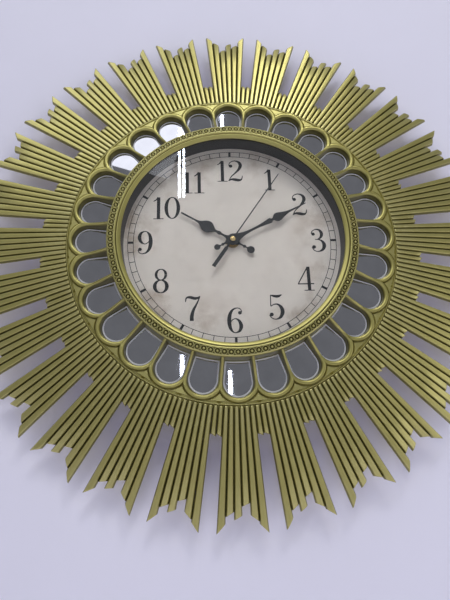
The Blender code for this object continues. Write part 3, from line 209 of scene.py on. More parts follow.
def turn_point(x, y, angle):
    """A point turned clockwise about the hands' axis."""
    cosine, sine = math.cos(angle), math.sin(angle)
    return x * cosine + y * sine, y * cosine - x * sine


class Shape:
    """Points and faces that are gathered before they become one piece."""

    def __init__(self):
        self.points = []
        self.faces = []
        self.looks = []

    def add(self, points, faces, looks):
        """Add points, the faces between them and each face's look."""
        start = len(self.points)
        self.points.extend(points)
        self.faces.extend(tuple(start + index for index in face) for face in faces)
        self.looks.extend(looks)

    def loft(self, rings, capped=True, around=False, second=()):
        """Join rings of equal length, and cap the ends or join the last ring to the first.

        Columns in second get the piece's second look, and so do the caps if there are any.
        """
        count = len(rings[0])
        faces = []
        looks = []
        last = len(rings) if around else len(rings) - 1
        for row in range(last):
            below, above = row * count, (row + 1) % len(rings) * count
            for index in range(count):
                following = (index + 1) % count
                faces.append((below + index, below + following, above + following, above + index))
                looks.append(1 if index in second else 0)
        if capped and not around:
            faces.append(tuple(range(count))[::-1])
            faces.append(tuple((len(rings) - 1) * count + index for index in range(count)))
            looks += [1 if second else 0] * 2
        self.add([point for ring in rings for point in ring], faces, looks)

    def sheet(self, rows, look=0, first_look=0, first_columns=0):
        """Join open rows of equal length; the first columns may have a look of their own."""
        count = len(rows[0])
        faces = []
        looks = []
        for row in range(len(rows) - 1):
            for index in range(count - 1):
                corner = row * count + index
                faces.append((corner, corner + 1, corner + count + 1, corner + count))
                looks.append(first_look if index < first_columns else look)
        self.add([point for row in rows for point in row], faces, looks)

    def lathe(self, section, steps, centre=(0.0, 0.0), second=()):
        """Turn a closed section of (radius, height) about a centre."""
        rings = []
        for angle in angles(steps):
            ring = []
            for radius, height in section:
                x, y = clock_point(radius, angle)
                ring.append((centre[0] + x, centre[1] + y, height))
            rings.append(ring)
        self.loft(rings, around=True, second=second)

    def spoke(self, angle, start, end, sections):
        """Add a bar that points out from the hands' axis, from its two (half width, height)."""
        rings = []
        for half, height in sections:
            corners = [(-half, start), (half, start), (half, end), (-half, end)]
            rings.append([(*turn_point(x, y, angle), height) for x, y in corners])
        self.loft(rings)


def make_piece(name, shape, looks, body="clock", replaces=(), crease=32):
    """Turn a gathered shape into a piece that rides on a body, with a material for each look."""
    mesh = bpy.data.meshes.new(name)
    points = [(x * MM, DIAL_FACE - height * MM, y * MM) for x, y, height in shape.points]
    mesh.from_pydata(points, [], shape.faces)
    for look in looks:
        mesh.materials.append(look_of(look))
    for polygon, look in zip(mesh.polygons, shape.looks):
        polygon.material_index = look
    work = bmesh.new()
    work.from_mesh(mesh)
    bmesh.ops.remove_doubles(work, verts=work.verts, dist=0.004 * MM)
    bmesh.ops.dissolve_degenerate(work, edges=work.edges, dist=0.002 * MM)
    bmesh.ops.recalc_face_normals(work, faces=work.faces)
    work.to_mesh(mesh)
    work.free()
    mesh.shade_smooth()
    mesh.set_sharp_from_angle(angle=math.radians(crease))
    piece = bpy.data.objects.new(name, mesh)
    bpy.context.scene.collection.objects.link(piece)
    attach(piece, body)
    if replaces:
        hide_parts(*replaces)


def smooth_line(points, between=4):
    """A smooth open line through points of any length."""
    line = []
    for index in range(len(points) - 1):
        before = points[max(index - 1, 0)]
        start, end = points[index], points[index + 1]
        after = points[min(index + 2, len(points) - 1)]
        for step in range(between):
            t = step / between
            line.append(tuple(
                0.5 * (2 * b + (c - a) * t + (2 * a - 5 * b + 4 * c - d) * t * t
                       + (3 * b - a - 3 * c + d) * t ** 3)
                for a, b, c, d in zip(before, start, end, after)))
    line.append(tuple(points[-1]))
    return line


def inset(outline, distance):
    """A closed outline moved in by a distance; the outline runs anticlockwise."""
    moved = []
    count = len(outline)
    for index in range(count):
        before = Vector(outline[index - 1][:2])
        point = Vector(outline[index][:2])
        after = Vector(outline[(index + 1) % count][:2])
        into, out = (point - before).normalized(), (after - point).normalized()
        side = Vector((-into.y - out.y, into.x + out.x))
        narrowing = max(side.length / 2, 0.6)
        moved.append(tuple(point + side.normalized() * distance / narrowing))
    return moved


def anticlockwise(outline):
    """The outline, turned round if it runs clockwise."""
    area = sum(a[0] * b[1] - b[0] * a[1] for a, b in zip(outline, outline[1:] + outline[:1]))
    return outline if area > 0 else outline[::-1]


def raised(outline, low, high, edge, drop):
    """Rings of a plate with a sloping top edge."""
    outline = anticlockwise(outline)
    inner = inset(outline, edge)
    return [
        [(x, y, low) for x, y in outline],
        [(x, y, high - drop) for x, y in outline],
        [(x, y, high) for x, y in inner],
    ]


# ---- Shared effects ----


def new_group(name, inputs, outputs):
    """An empty node group with float inputs, given as name: value, and float outputs."""
    tree = bpy.data.node_groups.new(name, "ShaderNodeTree")
    for label, value in inputs.items():
        socket = tree.interface.new_socket(label, in_out="INPUT", socket_type="NodeSocketFloat")
        socket.default_value = value
    for label in outputs:
        tree.interface.new_socket(label, in_out="OUTPUT", socket_type="NodeSocketFloat")
    return tree, tree.nodes.new("NodeGroupInput"), tree.nodes.new("NodeGroupOutput")


def add_node(tree, kind, inputs, output=0, **settings):
    """Add a shader node, set or link its inputs, and give one of its outputs."""
    node = tree.nodes.new("ShaderNode" + kind)
    for name, value in settings.items():
        setattr(node, name, value)
    for label, value in inputs.items():
        if isinstance(value, bpy.types.NodeSocket):
            tree.links.new(value, node.inputs[label])
        else:
            node.inputs[label].default_value = value
    return node.outputs[output]


def place_on(tree):
    """A point's place in the piece's own coordinates."""
    return add_node(tree, "TexCoord", {}, "Object")


def noise(tree, scale, detail=3.0, roughness=0.55, place=None):
    """A noise texture in the piece's own coordinates."""
    return add_node(tree, "TexNoise", {"Detail": detail, "Roughness": roughness, "Scale": scale,
                                       "Vector": place or place_on(tree)}, "Fac")


def spread(tree, value, low, high, new_low=0.0, new_high=1.0):
    """A value spread from one range to another, and clamped to it."""
    return add_node(tree, "MapRange", {"Value": value, "From Min": low, "From Max": high,
                                       "To Min": new_low, "To Max": new_high}, "Result")


def arithmetic(tree, operation, first, second):
    """One arithmetic step between two values."""
    return add_node(tree, "Math", {0: first, 1: second}, operation=operation)


def fine_grain():
    """Fine grain of a painted or moulded surface, and larger unevenness under it."""
    tree, given, result = new_group("fine_grain", {"Scale": 1500.0, "Cloud Scale": 30.0},
                                    ("Grain", "Cloud"))
    tree.links.new(noise(tree, given.outputs["Scale"], 2.0, 0.6), result.inputs["Grain"])
    cloud = noise(tree, given.outputs["Cloud Scale"], 4.0, 0.6)
    tree.links.new(spread(tree, cloud, 0.35, 0.65), result.inputs["Cloud"])
    return tree


def edge_wear():
    """Masks of the outer edges, for wear and painted highlight, and of the grooves, for painted shade,
    broken up by noise.
    """
    tree, given, result = new_group("edge_wear", {"Edge Start": 0.53, "Edge Full": 0.62,
                                                  "Groove Start": 0.49, "Groove Full": 0.42},
                                    ("Edge", "Groove"))
    point = add_node(tree, "NewGeometry", {}, "Pointiness")
    edge = spread(tree, point, given.outputs["Edge Start"], given.outputs["Edge Full"])
    broken = spread(tree, noise(tree, 260.0, 3.0), 0.3, 0.6, 0.5, 0.8)
    tree.links.new(arithmetic(tree, "MULTIPLY", edge, broken), result.inputs["Edge"])
    groove = spread(tree, point, given.outputs["Groove Start"], given.outputs["Groove Full"])
    tree.links.new(groove, result.inputs["Groove"])
    return tree


def settled_dust():
    """A mask of the dust that settles where a surface faces up."""
    tree, given, result = new_group("settled_dust", {"Amount": 0.2}, ("Dust",))
    normal = add_node(tree, "TexCoord", {}, "Normal")
    upward = add_node(tree, "SeparateXYZ", {"Vector": normal}, "Z")
    facing = spread(tree, upward, 0.2, 1.0)
    speckle = spread(tree, noise(tree, 420.0, 4.0, 0.7), 0.42, 0.62)
    mask = arithmetic(tree, "MULTIPLY", facing, speckle)
    mask = arithmetic(tree, "MULTIPLY", mask, given.outputs["Amount"])
    tree.links.new(mask, result.inputs["Dust"])
    return tree


def brush_lines():
    """Fine scratches along one direction of a brushed metal."""
    tree, given, result = new_group("brush_lines", {"Across": 2600.0, "Along": 60.0}, ("Lines",))
    across = given.outputs["Across"]
    amounts = add_node(tree, "CombineXYZ", {"X": given.outputs["Along"], "Y": across, "Z": across})
    stretched = add_node(tree, "VectorMath", {0: place_on(tree), 1: amounts}, operation="MULTIPLY")
    lines = noise(tree, 1.0, 2.0, 0.5, stretched)
    tree.links.new(lines, result.inputs["Lines"])
    return tree


EFFECTS = {}


def effect(tree, name, **values):
    """Place a shared effect in a material, with its own values, and give its outputs."""
    if name not in EFFECTS:
        makers = {"fine_grain": fine_grain, "edge_wear": edge_wear,
                  "settled_dust": settled_dust, "brush_lines": brush_lines}
        EFFECTS[name] = makers[name]()
    node = tree.nodes.new("ShaderNodeGroup")
    node.node_tree = EFFECTS[name]
    for label, value in values.items():
        node.inputs[label.replace("_", " ")].default_value = value
    return node.outputs


# ---- Finishes ----

# The Mix node's sockets for colours
MIX_FIRST, MIX_SECOND, MIX_RESULT = 6, 7, 2


def mixed(tree, factor, first, second):
    """A colour between two, each a colour or a socket."""
    inputs = {0: factor}
    for socket, value in ((MIX_FIRST, first), (MIX_SECOND, second)):
        is_socket = isinstance(value, bpy.types.NodeSocket)
        inputs[socket] = value if is_socket else (*value[:3], 1.0)
    return add_node(tree, "Mix", inputs, MIX_RESULT, data_type="RGBA")


def shade(colour, factor):
    """A colour made lighter or darker."""
    return tuple(min(1.0, part * factor) for part in colour)


def new_look(name, **fixed):
    """A material with its Principled shader, and constant values for the shader's sockets."""
    look = bpy.data.materials.new(name)
    look.use_nodes = True
    tree = look.node_tree
    shader = tree.nodes["Principled BSDF"]
    for label, value in fixed.items():
        shader.inputs[label.replace("_", " ")].default_value = value
    return look, tree, shader


def finish(tree, shader, tone, grain, rough, strength=0.0, depth=0.0):
    """Give a shader its colour, and the roughness and the fine relief that follow its grain."""
    tree.links.new(tone, shader.inputs["Base Color"])
    tree.links.new(spread(tree, grain, 0.3, 0.7, *rough), shader.inputs["Roughness"])
    if strength:
        relief = add_node(tree, "Bump", {"Strength": strength, "Distance": depth, "Height": grain})
        tree.links.new(relief, shader.inputs["Normal"])


def clear_where(tree, shader, factor):
    """Let light straight through a surface where the factor is 1."""
    clear = add_node(tree, "BsdfTransparent", {})
    both = add_node(tree, "MixShader", {"Fac": factor, 1: shader.outputs["BSDF"], 2: clear})
    tree.links.new(both, tree.nodes["Material Output"].inputs["Surface"])


GOLDEN_DUST = (0.62, 0.6, 0.52)
GREY_DUST = (0.42, 0.41, 0.39)


def gold_look(name, strength=1.0):
    """Gold paint: darker in its grooves as painted shade, bright on its edges for wear and as painted
    highlight, with fine grain and some dust.
    """
    look, tree, shader = new_look(name, Metallic=0.82, Coat_Weight=0.12, Coat_Roughness=0.25)
    gold = shade(colours().gold, strength)
    grain = effect(tree, "fine_grain", Scale=1900.0, Cloud_Scale=24.0)
    wear_and_painted_light = effect(tree, "edge_wear")
    dust = effect(tree, "settled_dust", Amount=0.05)
    tone = mixed(tree, grain["Cloud"], shade(gold, 0.95), shade(gold, 1.04))
    # painted shade in the grooves
    tone = mixed(tree, wear_and_painted_light["Groove"], tone, colours().gold_shade)
    # edges lightened for wear and as painted highlight
    tone = mixed(tree, wear_and_painted_light["Edge"], tone, colours().gold_worn)
    tone = mixed(tree, dust["Dust"], tone, GOLDEN_DUST)
    finish(tree, shader, tone, grain["Grain"], (0.3, 0.4), 0.25, 0.12 * MM)
    return look


def plastic_look(name, colour, rough, bump, scale=1400.0, worn=1.9):
    """Moulded plastic with a fine grain, faint clouds, edges lightened for wear and as painted
    highlight, and some dust.
    """
    look, tree, shader = new_look(name, IOR=1.47)
    grain = effect(tree, "fine_grain", Scale=scale, Cloud_Scale=40.0)
    wear_and_painted_light = effect(tree, "edge_wear", Edge_Start=0.53)
    dust = effect(tree, "settled_dust", Amount=0.14)
    tone = mixed(tree, grain["Cloud"], shade(colour, 0.88), shade(colour, 1.12))
    # edges lightened for wear and as painted highlight
    tone = mixed(tree, wear_and_painted_light["Edge"], tone, shade(colour, worn))
    tone = mixed(tree, dust["Dust"], tone, GREY_DUST)
    finish(tree, shader, tone, grain["Grain"], (rough - 0.06, rough + 0.08), bump, 0.15 * MM)
    return look


def metal_look(name, colour, rough, across):
    """Rolled or turned metal with brush lines, and a faint tarnish in clouds."""
    look, tree, shader = new_look(name, Metallic=1.0)
    lines = effect(tree, "brush_lines", Across=across)
    grain = effect(tree, "fine_grain", Scale=900.0, Cloud_Scale=60.0)
    tone = mixed(tree, grain["Cloud"], shade(colour, 0.82), colour)
    tone = mixed(tree, lines["Lines"], tone, shade(colour, 1.12))
    finish(tree, shader, tone, lines["Lines"], (rough - 0.07, rough + 0.1), 0.15, 0.1 * MM)
    return look


def mirror_look(name):
    """Silvered glass, with faint smears."""
    look, tree, shader = new_look(name, Metallic=1.0, Coat_Weight=0.6, Coat_Roughness=0.02)
    grain = effect(tree, "fine_grain", Scale=300.0, Cloud_Scale=46.0)
    tone = mixed(tree, grain["Cloud"], shade(colours().mirror, 0.9), colours().mirror)
    tree.links.new(tone, shader.inputs["Base Color"])
    smear = spread(tree, grain["Cloud"], 0.0, 1.0, 0.012, 0.03)
    tree.links.new(smear, shader.inputs["Roughness"])
    return look


def glass_look(name):
    """Clear flat glass that lets the lamps' light through to the dial."""
    look, tree, shader = new_look(name, Base_Color=(0.97, 0.985, 0.98, 1.0), IOR=1.45,
                                  Transmission_Weight=1.0)
    grain = effect(tree, "fine_grain", Scale=500.0, Cloud_Scale=18.0)
    tree.links.new(spread(tree, grain["Cloud"], 0.0, 1.0, 0.0, 0.006), shader.inputs["Roughness"])
    clear_where(tree, shader, add_node(tree, "LightPath", {}, "Is Shadow Ray"))
    return look


def axis_distance(tree):
    """The distance of a point from the hands' axis."""
    flat = add_node(tree, "VectorMath", {0: place_on(tree), 1: (1.0, 0.0, 1.0)},
                    operation="MULTIPLY")
    return add_node(tree, "VectorMath", {0: flat}, "Value", operation="LENGTH")


# Distances from the hands' axis in metres, between which the dial's stains thicken, and its lighter ring
# near the edge begins
STAINS = (0.06, 0.122)
LIGHTER_DIAL_RIM = (0.1195, 0.1215)


def dial_look(name):
    """Printed parchment paper: mottled, with brown stains that gather near the edge."""
    look, tree, shader = new_look(name, Specular_IOR_Level=0.3)
    distance = axis_distance(tree)
    rim = spread(tree, distance, *STAINS)
    grain = effect(tree, "fine_grain", Scale=700.0, Cloud_Scale=26.0)
    stains = spread(tree, noise(tree, 22.0, 6.0, 0.62), 0.5, 0.72)
    near_edge = arithmetic(tree, "MULTIPLY", stains, spread(tree, rim, 0.0, 1.0, 0.12, 0.95))
    tone = mixed(tree, grain["Cloud"], shade(colours().dial, 0.93), colours().dial)
    tone = mixed(tree, near_edge, tone, colours().dial_stain)
    # the dial made lighter near its edge
    edge = spread(tree, distance, *LIGHTER_DIAL_RIM, 0.0, 0.6)
    tone = mixed(tree, edge, tone, shade(colours().dial, 1.1))
    fleck = spread(tree, noise(tree, 900.0, 2.0), 0.62, 0.7, 0.0, 0.3)
    tone = mixed(tree, fleck, tone, colours().dial_stain)
    finish(tree, shader, tone, grain["Grain"], (0.5, 0.66), 0.12, 0.08 * MM)
    return look


# Colour, or the name of one that a user may change; roughness, relief, grain size, tone of the edges,
# lightened for wear and as painted highlight
PLASTICS = {
    # painted highlight: the mirrors' bevels in a pale colour, standing in for the bright reflections
    # along them
    "mirror_edge": ((0.94, 0.95, 0.98), 0.2, 0.02, 1400.0, 1.0),
    "dial_ink": ("ink", 0.75, 0.1, 1400.0, 1.1),
    "black_plastic": ("recess", 0.4, 0.06),
    "black_hand": ("hands", 0.42, 0.06, 1400.0, 1.3),
    "grey_plastic": ("movement", 0.48, 0.5, 900.0),
    "white_nylon": ((0.72, 0.71, 0.67), 0.45, 0.15),
    "battery_jacket": ("jacket", 0.28, 0.05),
    "circuit_board": ((0.03, 0.16, 0.07), 0.4, 0.2),
    "magnet": ((0.06, 0.06, 0.065), 0.55, 0.3),
}
# Colour, roughness, how fine the brush lines are
METALS = {
    "jacket_band": ((0.62, 0.42, 0.16), 0.3, 900.0),
    "steel": ((0.56, 0.57, 0.59), 0.32, 2600.0),
    "brass": ((0.66, 0.49, 0.22), 0.26, 2600.0),
    "copper": ((0.72, 0.36, 0.2), 0.3, 4200.0),
}
OTHERS = {"gold_paint": gold_look, "mirror_glass": mirror_look, "clear_glass": glass_look,
          "dial_board": dial_look}
PAINTED_SHADE_TONE = 0.42  # how dark the second gold is: a darker copy of the gold, painted shade on walls that lie in shade
LOOKS = {}


def look_of(name):
    """A finish by its name, made once."""
    if name in LOOKS:
        return LOOKS[name]
    if name in PLASTICS:
        colour, *values = PLASTICS[name]
        if isinstance(colour, str):
            colour = getattr(colours(), colour)
        LOOKS[name] = plastic_look(name, colour, *values)
    elif name in METALS:
        LOOKS[name] = metal_look(name, *METALS[name])
    # a darker copy of the gold, used as painted shade
    elif name == "gold_recess":
        LOOKS[name] = gold_look(name, PAINTED_SHADE_TONE)
    else:
        LOOKS[name] = OTHERS[name](name)
    return LOOKS[name]


# ---- The gold frame ----

# the second gold is the darker copy, used as painted shade
GOLDS = ("gold_paint", "gold_recess")


def ray_front(radius):
    """The height of the rays' front at a radius."""
    slope = (RAY_TIP_HEIGHT - RAY_ROOT_HEIGHT) / (TIP - RAY_ROOT)
    return RAY_ROOT_HEIGHT + slope * (radius - RAY_ROOT)


def bezel_section():
    """The bezel's closed section: window edge, grooves, bead channel, rim and outer wall."""
    steps = (
        (0.0, -5.4), (0.0, -4.6), (0.25, -4.05), (0.9, -3.6), (3.3, -2.35), (3.8, -2.2), (4.15, -2.35),
        (4.35, -3.0), (4.8, -3.05), (5.0, -2.1), (5.5, -1.5), (6.4, -1.2), (7.0, -1.3), (7.3, -1.7),
        (7.45, -2.5), (7.7, -2.75), (12.7, -2.9), (12.95, -2.7), (13.1, -1.9), (13.5, -1.55),
        (14.1, -1.75), (14.7, -2.6), (15.0, -3.5), (15.1, -4.4),
    )
    section = [(WINDOW + out, BEZEL_TOP + down) for out, down in steps]
    cavity = BEZEL_OUTER - 2.8
    section += [(BEZEL_OUTER, FLOOR_BACK), (cavity, FLOOR_BACK), (cavity, BEZEL_TOP - 5.4)]
    return section


BEAD_CIRCLE = WINDOW + 10.2
BEAD_SECTION = ((0.0, 1.0), (0.34, 0.94), (0.62, 0.78), (0.84, 0.54), (0.96, 0.28), (1.0, 0.0))


class CLOCK_OT_bezel(bpy.types.Operator):
    """Build the turned bezel round the window"""

    bl_idname = "clock.bezel"
    bl_label = "Bezel"

    def execute(self, context):
        shape = Shape()
        section = bezel_section()
        # the bezel's outer wall gets the darker gold, painted shade where it lies in shadow
        shape.lathe(section, 280, second=(len(section) - 4,))
        make_piece("bezel", shape, GOLDS, replaces=["sunburst_frame"], crease=40)
        return {"FINISHED"}


class CLOCK_OT_beads(bpy.types.Operator):
    """Build the row of beads on the bezel"""

    bl_idname = "clock.beads"
    bl_label = "Bezel Beads"

    def execute(self, context):
        radius = size("bead_radius")
        foot = BEZEL_TOP - 2.5
        rise = BEZEL_TOP - 0.05 - foot
        beads = context.scene.clock_sizes.beads
        cup = math.pi * BEAD_CIRCLE / beads
        shape = Shape()
        for angle in angles(beads):
            centre = clock_point(BEAD_CIRCLE, angle)
            section = [(radius * out, foot + rise * up) for out, up in BEAD_SECTION]
            section += [(cup - 0.95, foot), (cup - 0.8, foot + 0.9), (cup - 0.55, foot + 1.35),
                        (cup - 0.2, foot + 1.35), (cup + 0.05, foot + 0.9), (cup + 0.05, foot - 0.6),
                        (0.0, foot - 0.6)]
            shape.lathe(section, 16, centre)
        make_piece("bezel_beads", shape, ["gold_paint"], replaces=["sunburst_frame"], crease=60)
        return {"FINISHED"}


def boundary_distance(x, y, across, along):
    """How far a point is from the line between two petals, along a direction."""
    cosine, sine = math.cos(HALF_PITCH), math.sin(HALF_PITCH)
    return -(x * cosine - y * sine) / (across * cosine - along * sine)


def baseline_distance(angle):
    """How far an arch's edge is from the ring at the rays' roots, at an angle of the arch."""
    up = ARCH_CENTRE * math.sin(angle)
    return -up + math.sqrt(up * up - ARCH_CENTRE ** 2 + BASELINE ** 2) - ARCH


RIB_CREST = 21.0  # height of the ribs' crest where they meet the bezel
RIB_CLIMB = 22.6  # length over which the ribs climb to it
CREST_SHARE = 0.74  # where the crest lies in a rim's width
RIM_DROP = 3.5  # how far the rim drops outside its crest
NO_LIMIT = 99.0


def crest_height(radius):
    """The height of the petal rims' crest: level round the outer end, rising to the bezel."""
    level = size("rim_height")
    climb = max(0.0, (BEZEL_OUTER + RIB_CLIMB - radius) / RIB_CLIMB)
    return level + (RIB_CREST - level) * climb ** 1.2


def rim_row(x, y, across, along, limit):
    """One section of a petal's rim: slope, rounded crest, outer drop and the ground beyond."""
    edge = boundary_distance(x, y, across, along)
    if edge < 0:
        edge = limit
    reach_out = min(edge, limit)
    width = size("rim_width")
    crest = min(CREST_SHARE * width, edge)
    height = crest_height(math.hypot(x + crest * across, y + crest * along))
    foot = MIRROR_FRONT + 0.1
    rise = height - foot
    row = [(0.0, FLOOR_TOP - 0.2)]
    slope = ((0.02, 0.0), (0.06, 0.35), (0.12, 0.62), (0.2, 0.79), (0.32, 0.9), (0.5, 0.975),
             (0.75, 1.0), (1.0, 0.99))
    row += [(out * crest, foot + up * rise) for out, up in slope]
    drop_width = max(0.0, min(width, edge) - crest)
    drop = RIM_DROP * drop_width / ((1 - CREST_SHARE) * width)
    row += [(crest + out * drop_width, height - down * drop)
            for out, down in ((0.3, 0.06), (0.6, 0.32), (0.85, 0.72), (1.0, 1.0))]
    left = max(0.0, reach_out - crest - drop_width)
    low = height - drop - min(0.5, left)
    row += [(crest + drop_width + 0.3 * left, low), (crest + drop_width + left, low)]
    return [(x + out * across, y + out * along, up) for out, up in row]


def rim_rows():
    """The rim's sections round one petal, from the bezel round the arch and back."""
    rows = []
    foot_half = HALF_PITCH - math.asin(RIB_HALF / BEZEL_OUTER)
    foot = clock_point(BEZEL_OUTER - 0.2, foot_half)
    start = (ARCH * math.cos(HALF_PITCH), ARCH_CENTRE - ARCH * math.sin(HALF_PITCH))
    straight = 8
    for step in range(straight):
        t = step / straight
        x, y = foot[0] + (start[0] - foot[0]) * t, foot[1] + (start[1] - foot[1]) * t
        rows.append(rim_row(x, y, math.cos(HALF_PITCH), -math.sin(HALF_PITCH), NO_LIMIT))
    corner_x, corner_y = clock_point(BASELINE, HALF_PITCH)
    corner = math.atan2(corner_y - ARCH_CENTRE, corner_x)
    turns = [-HALF_PITCH + (corner + HALF_PITCH) * step / 14 for step in range(14)]
    turns += [corner + (math.pi / 2 - corner) * step / 10 for step in range(11)]
    for angle in turns:
        x, y = ARCH * math.cos(angle), ARCH_CENTRE + ARCH * math.sin(angle)
        limit = NO_LIMIT if angle < corner - 0.001 else baseline_distance(angle)
        rows.append(rim_row(x, y, math.cos(angle), math.sin(angle), limit))
    mirrored = [[(-x, y, up) for x, y, up in row] for row in rows[-2::-1]]
    return rows + mirrored


def petal_ring_section():
    """The closed section under the petals: their floor, and the thin ridge at the rays' roots."""
    ridge = BASELINE
    return [
        (BEZEL_OUTER - 0.2, FLOOR_TOP), (PETAL_TIP + 4.0, FLOOR_TOP), (ridge - 0.5, 8.4),
        (ridge, 9.0), (ridge + 0.25, 10.0), (ridge + 0.6, 10.4), (ridge + 1.0, 10.4),
        (ridge + 1.35, 10.0), (ridge + 1.6, 9.0), (ridge + 1.8, 6.8), (ridge + 4.4, 6.6),
        (ridge + 4.4, 4.2), (PETAL_TIP + 2.2, FLOOR_BACK), (BEZEL_OUTER - 0.2, FLOOR_BACK),
    ]


def wedge_outline():
    """The small raised wedge between two petals' outer ends, centred on 12 o'clock."""
    arch = ARCH + size("rim_width") + 0.75
    centre_x, centre_y = clock_point(ARCH_CENTRE, HALF_PITCH)
    base = BASELINE - 1.6
    low = math.acos(min(1.0, centre_x / arch))
    high = math.acos((arch ** 2 + ARCH_CENTRE ** 2 - base ** 2) / (2 * arch * ARCH_CENTRE))
    high = high - math.pi / 2 + HALF_PITCH
    side = []
    for step in range(7):
        angle = low + (high - low) * step / 6
        side.append((centre_x - arch * math.cos(angle), centre_y + arch * math.sin(angle)))
    return side + [(-x, y) for x, y in side[:0:-1]]


class CLOCK_OT_petal_rims(bpy.types.Operator):
    """Build the ring of petal rims, its ribs and the small wedges between the petals"""

    bl_idname = "clock.petal_rims"
    bl_label = "Petal Rims"

    def execute(self, context):
        shape = Shape()
        rows = rim_rows()
        wedge = anticlockwise(wedge_outline())
        for petal in range(PETALS):
            angle = petal * 2 * HALF_PITCH
            turned = [[(*turn_point(x, y, angle), up) for x, y, up in row] for row in rows]
            # the rims' inner slopes by the mirrors get the darker gold, as painted shade
            shape.sheet(turned, first_look=1, first_columns=4)
            placed = [turn_point(x, y, angle + HALF_PITCH) for x, y in wedge]
            shape.loft(raised(placed, 8.6, 10.9, 0.55, 0.6))
        shape.lathe(petal_ring_section(), 280)
        make_piece("petal_rims", shape, GOLDS, replaces=["sunburst_frame"], crease=38)
        return {"FINISHED"}


PAINTED_SHADE_SIDES = (0, 1, 6, 7, 8)  # columns of a bar's section that get the darker gold as painted shade: its grooves' walls, sides and back


def bar_rings(middle, left_end, right_end):
    """The rings of one ray bar, whose end slants from its left edge to its right edge."""
    half = TURN / BARS / 2
    bevel = size("bar_bevel")
    groove = size("bar_groove")
    section = ((-1, 0.02, -RAY_DEPTH), (-1, 0.02, -groove), (-1, 0.55 * bevel, -0.3 * groove),
               (-1, bevel, 0.0), (0, 0.0, 0.1), (1, bevel, 0.0), (1, 0.55 * bevel, -0.3 * groove),
               (1, 0.02, -groove), (1, 0.02, -RAY_DEPTH))
    stations = ((0.0, 0.0, 1.3), (0.0, 0.5, 0.35), (0.0, 1.3, 0.0), (0.35, 0.0, 0.0), (0.7, 0.0, 0.0),
                (1.0, -1.5, 0.0), (1.0, -0.6, 0.3), (1.0, 0.0, 1.1))
    rings = []
    for part, shift, drop in stations:
        ring = []
        for side, from_edge, depth in section:
            share = 0.5 + side * (0.5 - from_edge / (2 * half * TIP))
            end = left_end + (right_end - left_end) * share
            radius = BAR_ROOT + (end - BAR_ROOT) * part + shift
            across = side * (half * radius - from_edge) if side else 0.0
            x, y = clock_point(radius, middle + across / radius)
            lowered = 0.0 if depth == -RAY_DEPTH else min(drop, RAY_DEPTH - 0.4 + depth)
            ring.append((x, y, ray_front(radius) + depth - lowered))
        rings.append(ring)
    return rings


class CLOCK_OT_rays(bpy.types.Operator):
    """Build the bars of the sunburst's rays"""

    bl_idname = "clock.rays"
    bl_label = "Rays"

    def execute(self, context):
        shape = Shape()
        bar_pitch = TURN / BARS
        for group in range(PETALS):
            middle = group * 2 * HALF_PITCH
            for bar, (left, right) in enumerate(LONG_BAR_ENDS):
                angle = middle + (bar - 2.5) * bar_pitch
                # the bars' sides, groove walls, back and end caps get the darker gold, as painted shade
                shape.loft(bar_rings(angle, TIP - left, TIP - right), second=PAINTED_SHADE_SIDES)
            for bar in (3.5, 4.5):
                angle = middle + bar * bar_pitch
                shape.loft(bar_rings(angle, SHORT_BAR_END, SHORT_BAR_END - SHORT_BAR_SLANT),
                           second=PAINTED_SHADE_SIDES)
        make_piece("ray_bars", shape, GOLDS, replaces=["sunburst_frame"], crease=24)
        return {"FINISHED"}


# ---- Mirrors, lens and dial ----


def mirror_outline():
    """A mirror's outline, for the petal at 12 o'clock."""
    arch = ARCH - MIRROR_GAP
    foot_radius = BEZEL_OUTER + 0.7
    foot_half = HALF_PITCH - math.asin((RIB_HALF + MIRROR_GAP) / foot_radius)
    points = []
    for step in range(25):
        swing = math.pi * step / 24
        points.append((arch * math.cos(swing), ARCH_CENTRE + arch * math.sin(swing)))
    for step in range(9):
        points.append(clock_point(foot_radius, -foot_half + 2 * foot_half * step / 8))
    return points


class CLOCK_OT_mirrors(bpy.types.Operator):
    """Build the bevelled mirror in each petal"""

    bl_idname = "clock.mirrors"
    bl_label = "Mirrors"

    def execute(self, context):
        bevel = size("mirror_bevel")
        outline = mirror_outline()
        for petal, node in enumerate(MIRROR_NODES):
            angle = petal * 2 * HALF_PITCH
            turned = [turn_point(x, y, angle) for x, y in outline]
            shape = Shape()
            shape.loft(raised(turned, MIRROR_BACK, MIRROR_FRONT, bevel, 0.25))
            # the bevel gets the pale look, as painted highlight
            shape.looks[len(outline):2 * len(outline)] = [1] * len(outline)
            make_piece(f"bevelled_mirror_{petal + 1:02d}", shape, ["mirror_glass", "mirror_edge"],
                       replaces=[node], crease=8)
        return {"FINISHED"}


class CLOCK_OT_window(bpy.types.Operator):
    """Build the lens and the black wall behind it"""

    bl_idname = "clock.window"
    bl_label = "Lens and Recess"

    def execute(self, context):
        low, high = heights("lens")
        radius = reach("lens")[1]
        lens = Shape()
        lens.lathe([(0.0, low), (radius - 0.3, low), (radius, low + 0.3), (radius, high - 0.3),
                    (radius - 0.3, high), (0.0, high)], 192)
        make_piece("window_lens", lens, ["clear_glass"], replaces=["lens"])
        low, high = heights("spacer_ring")
        inner, outer = reach("spacer_ring")
        wall = Shape()
        wall.lathe([(inner, low), (inner, high - 0.4), (inner + 0.4, high), (outer, high),
                    (outer, low)], 256)
        make_piece("recess_wall", wall, ["black_plastic"], replaces=["spacer_ring"])
        return {"FINISHED"}


class CLOCK_OT_dial(bpy.types.Operator):
    """Build the dial board"""

    bl_idname = "clock.dial"
    bl_label = "Dial"

    def execute(self, context):
        low, high = heights("dial")
        board = Shape()
        board.lathe([(DIAL_HOLE, low), (DIAL_HOLE, high - 0.15), (DIAL_HOLE + 0.15, high),
                     (DIAL_EDGE - 0.25, high), (DIAL_EDGE, high - 0.25), (DIAL_EDGE, low)], 224)
        make_piece("dial_face", board, ["dial_board"], replaces=["dial"])
        return {"FINISHED"}


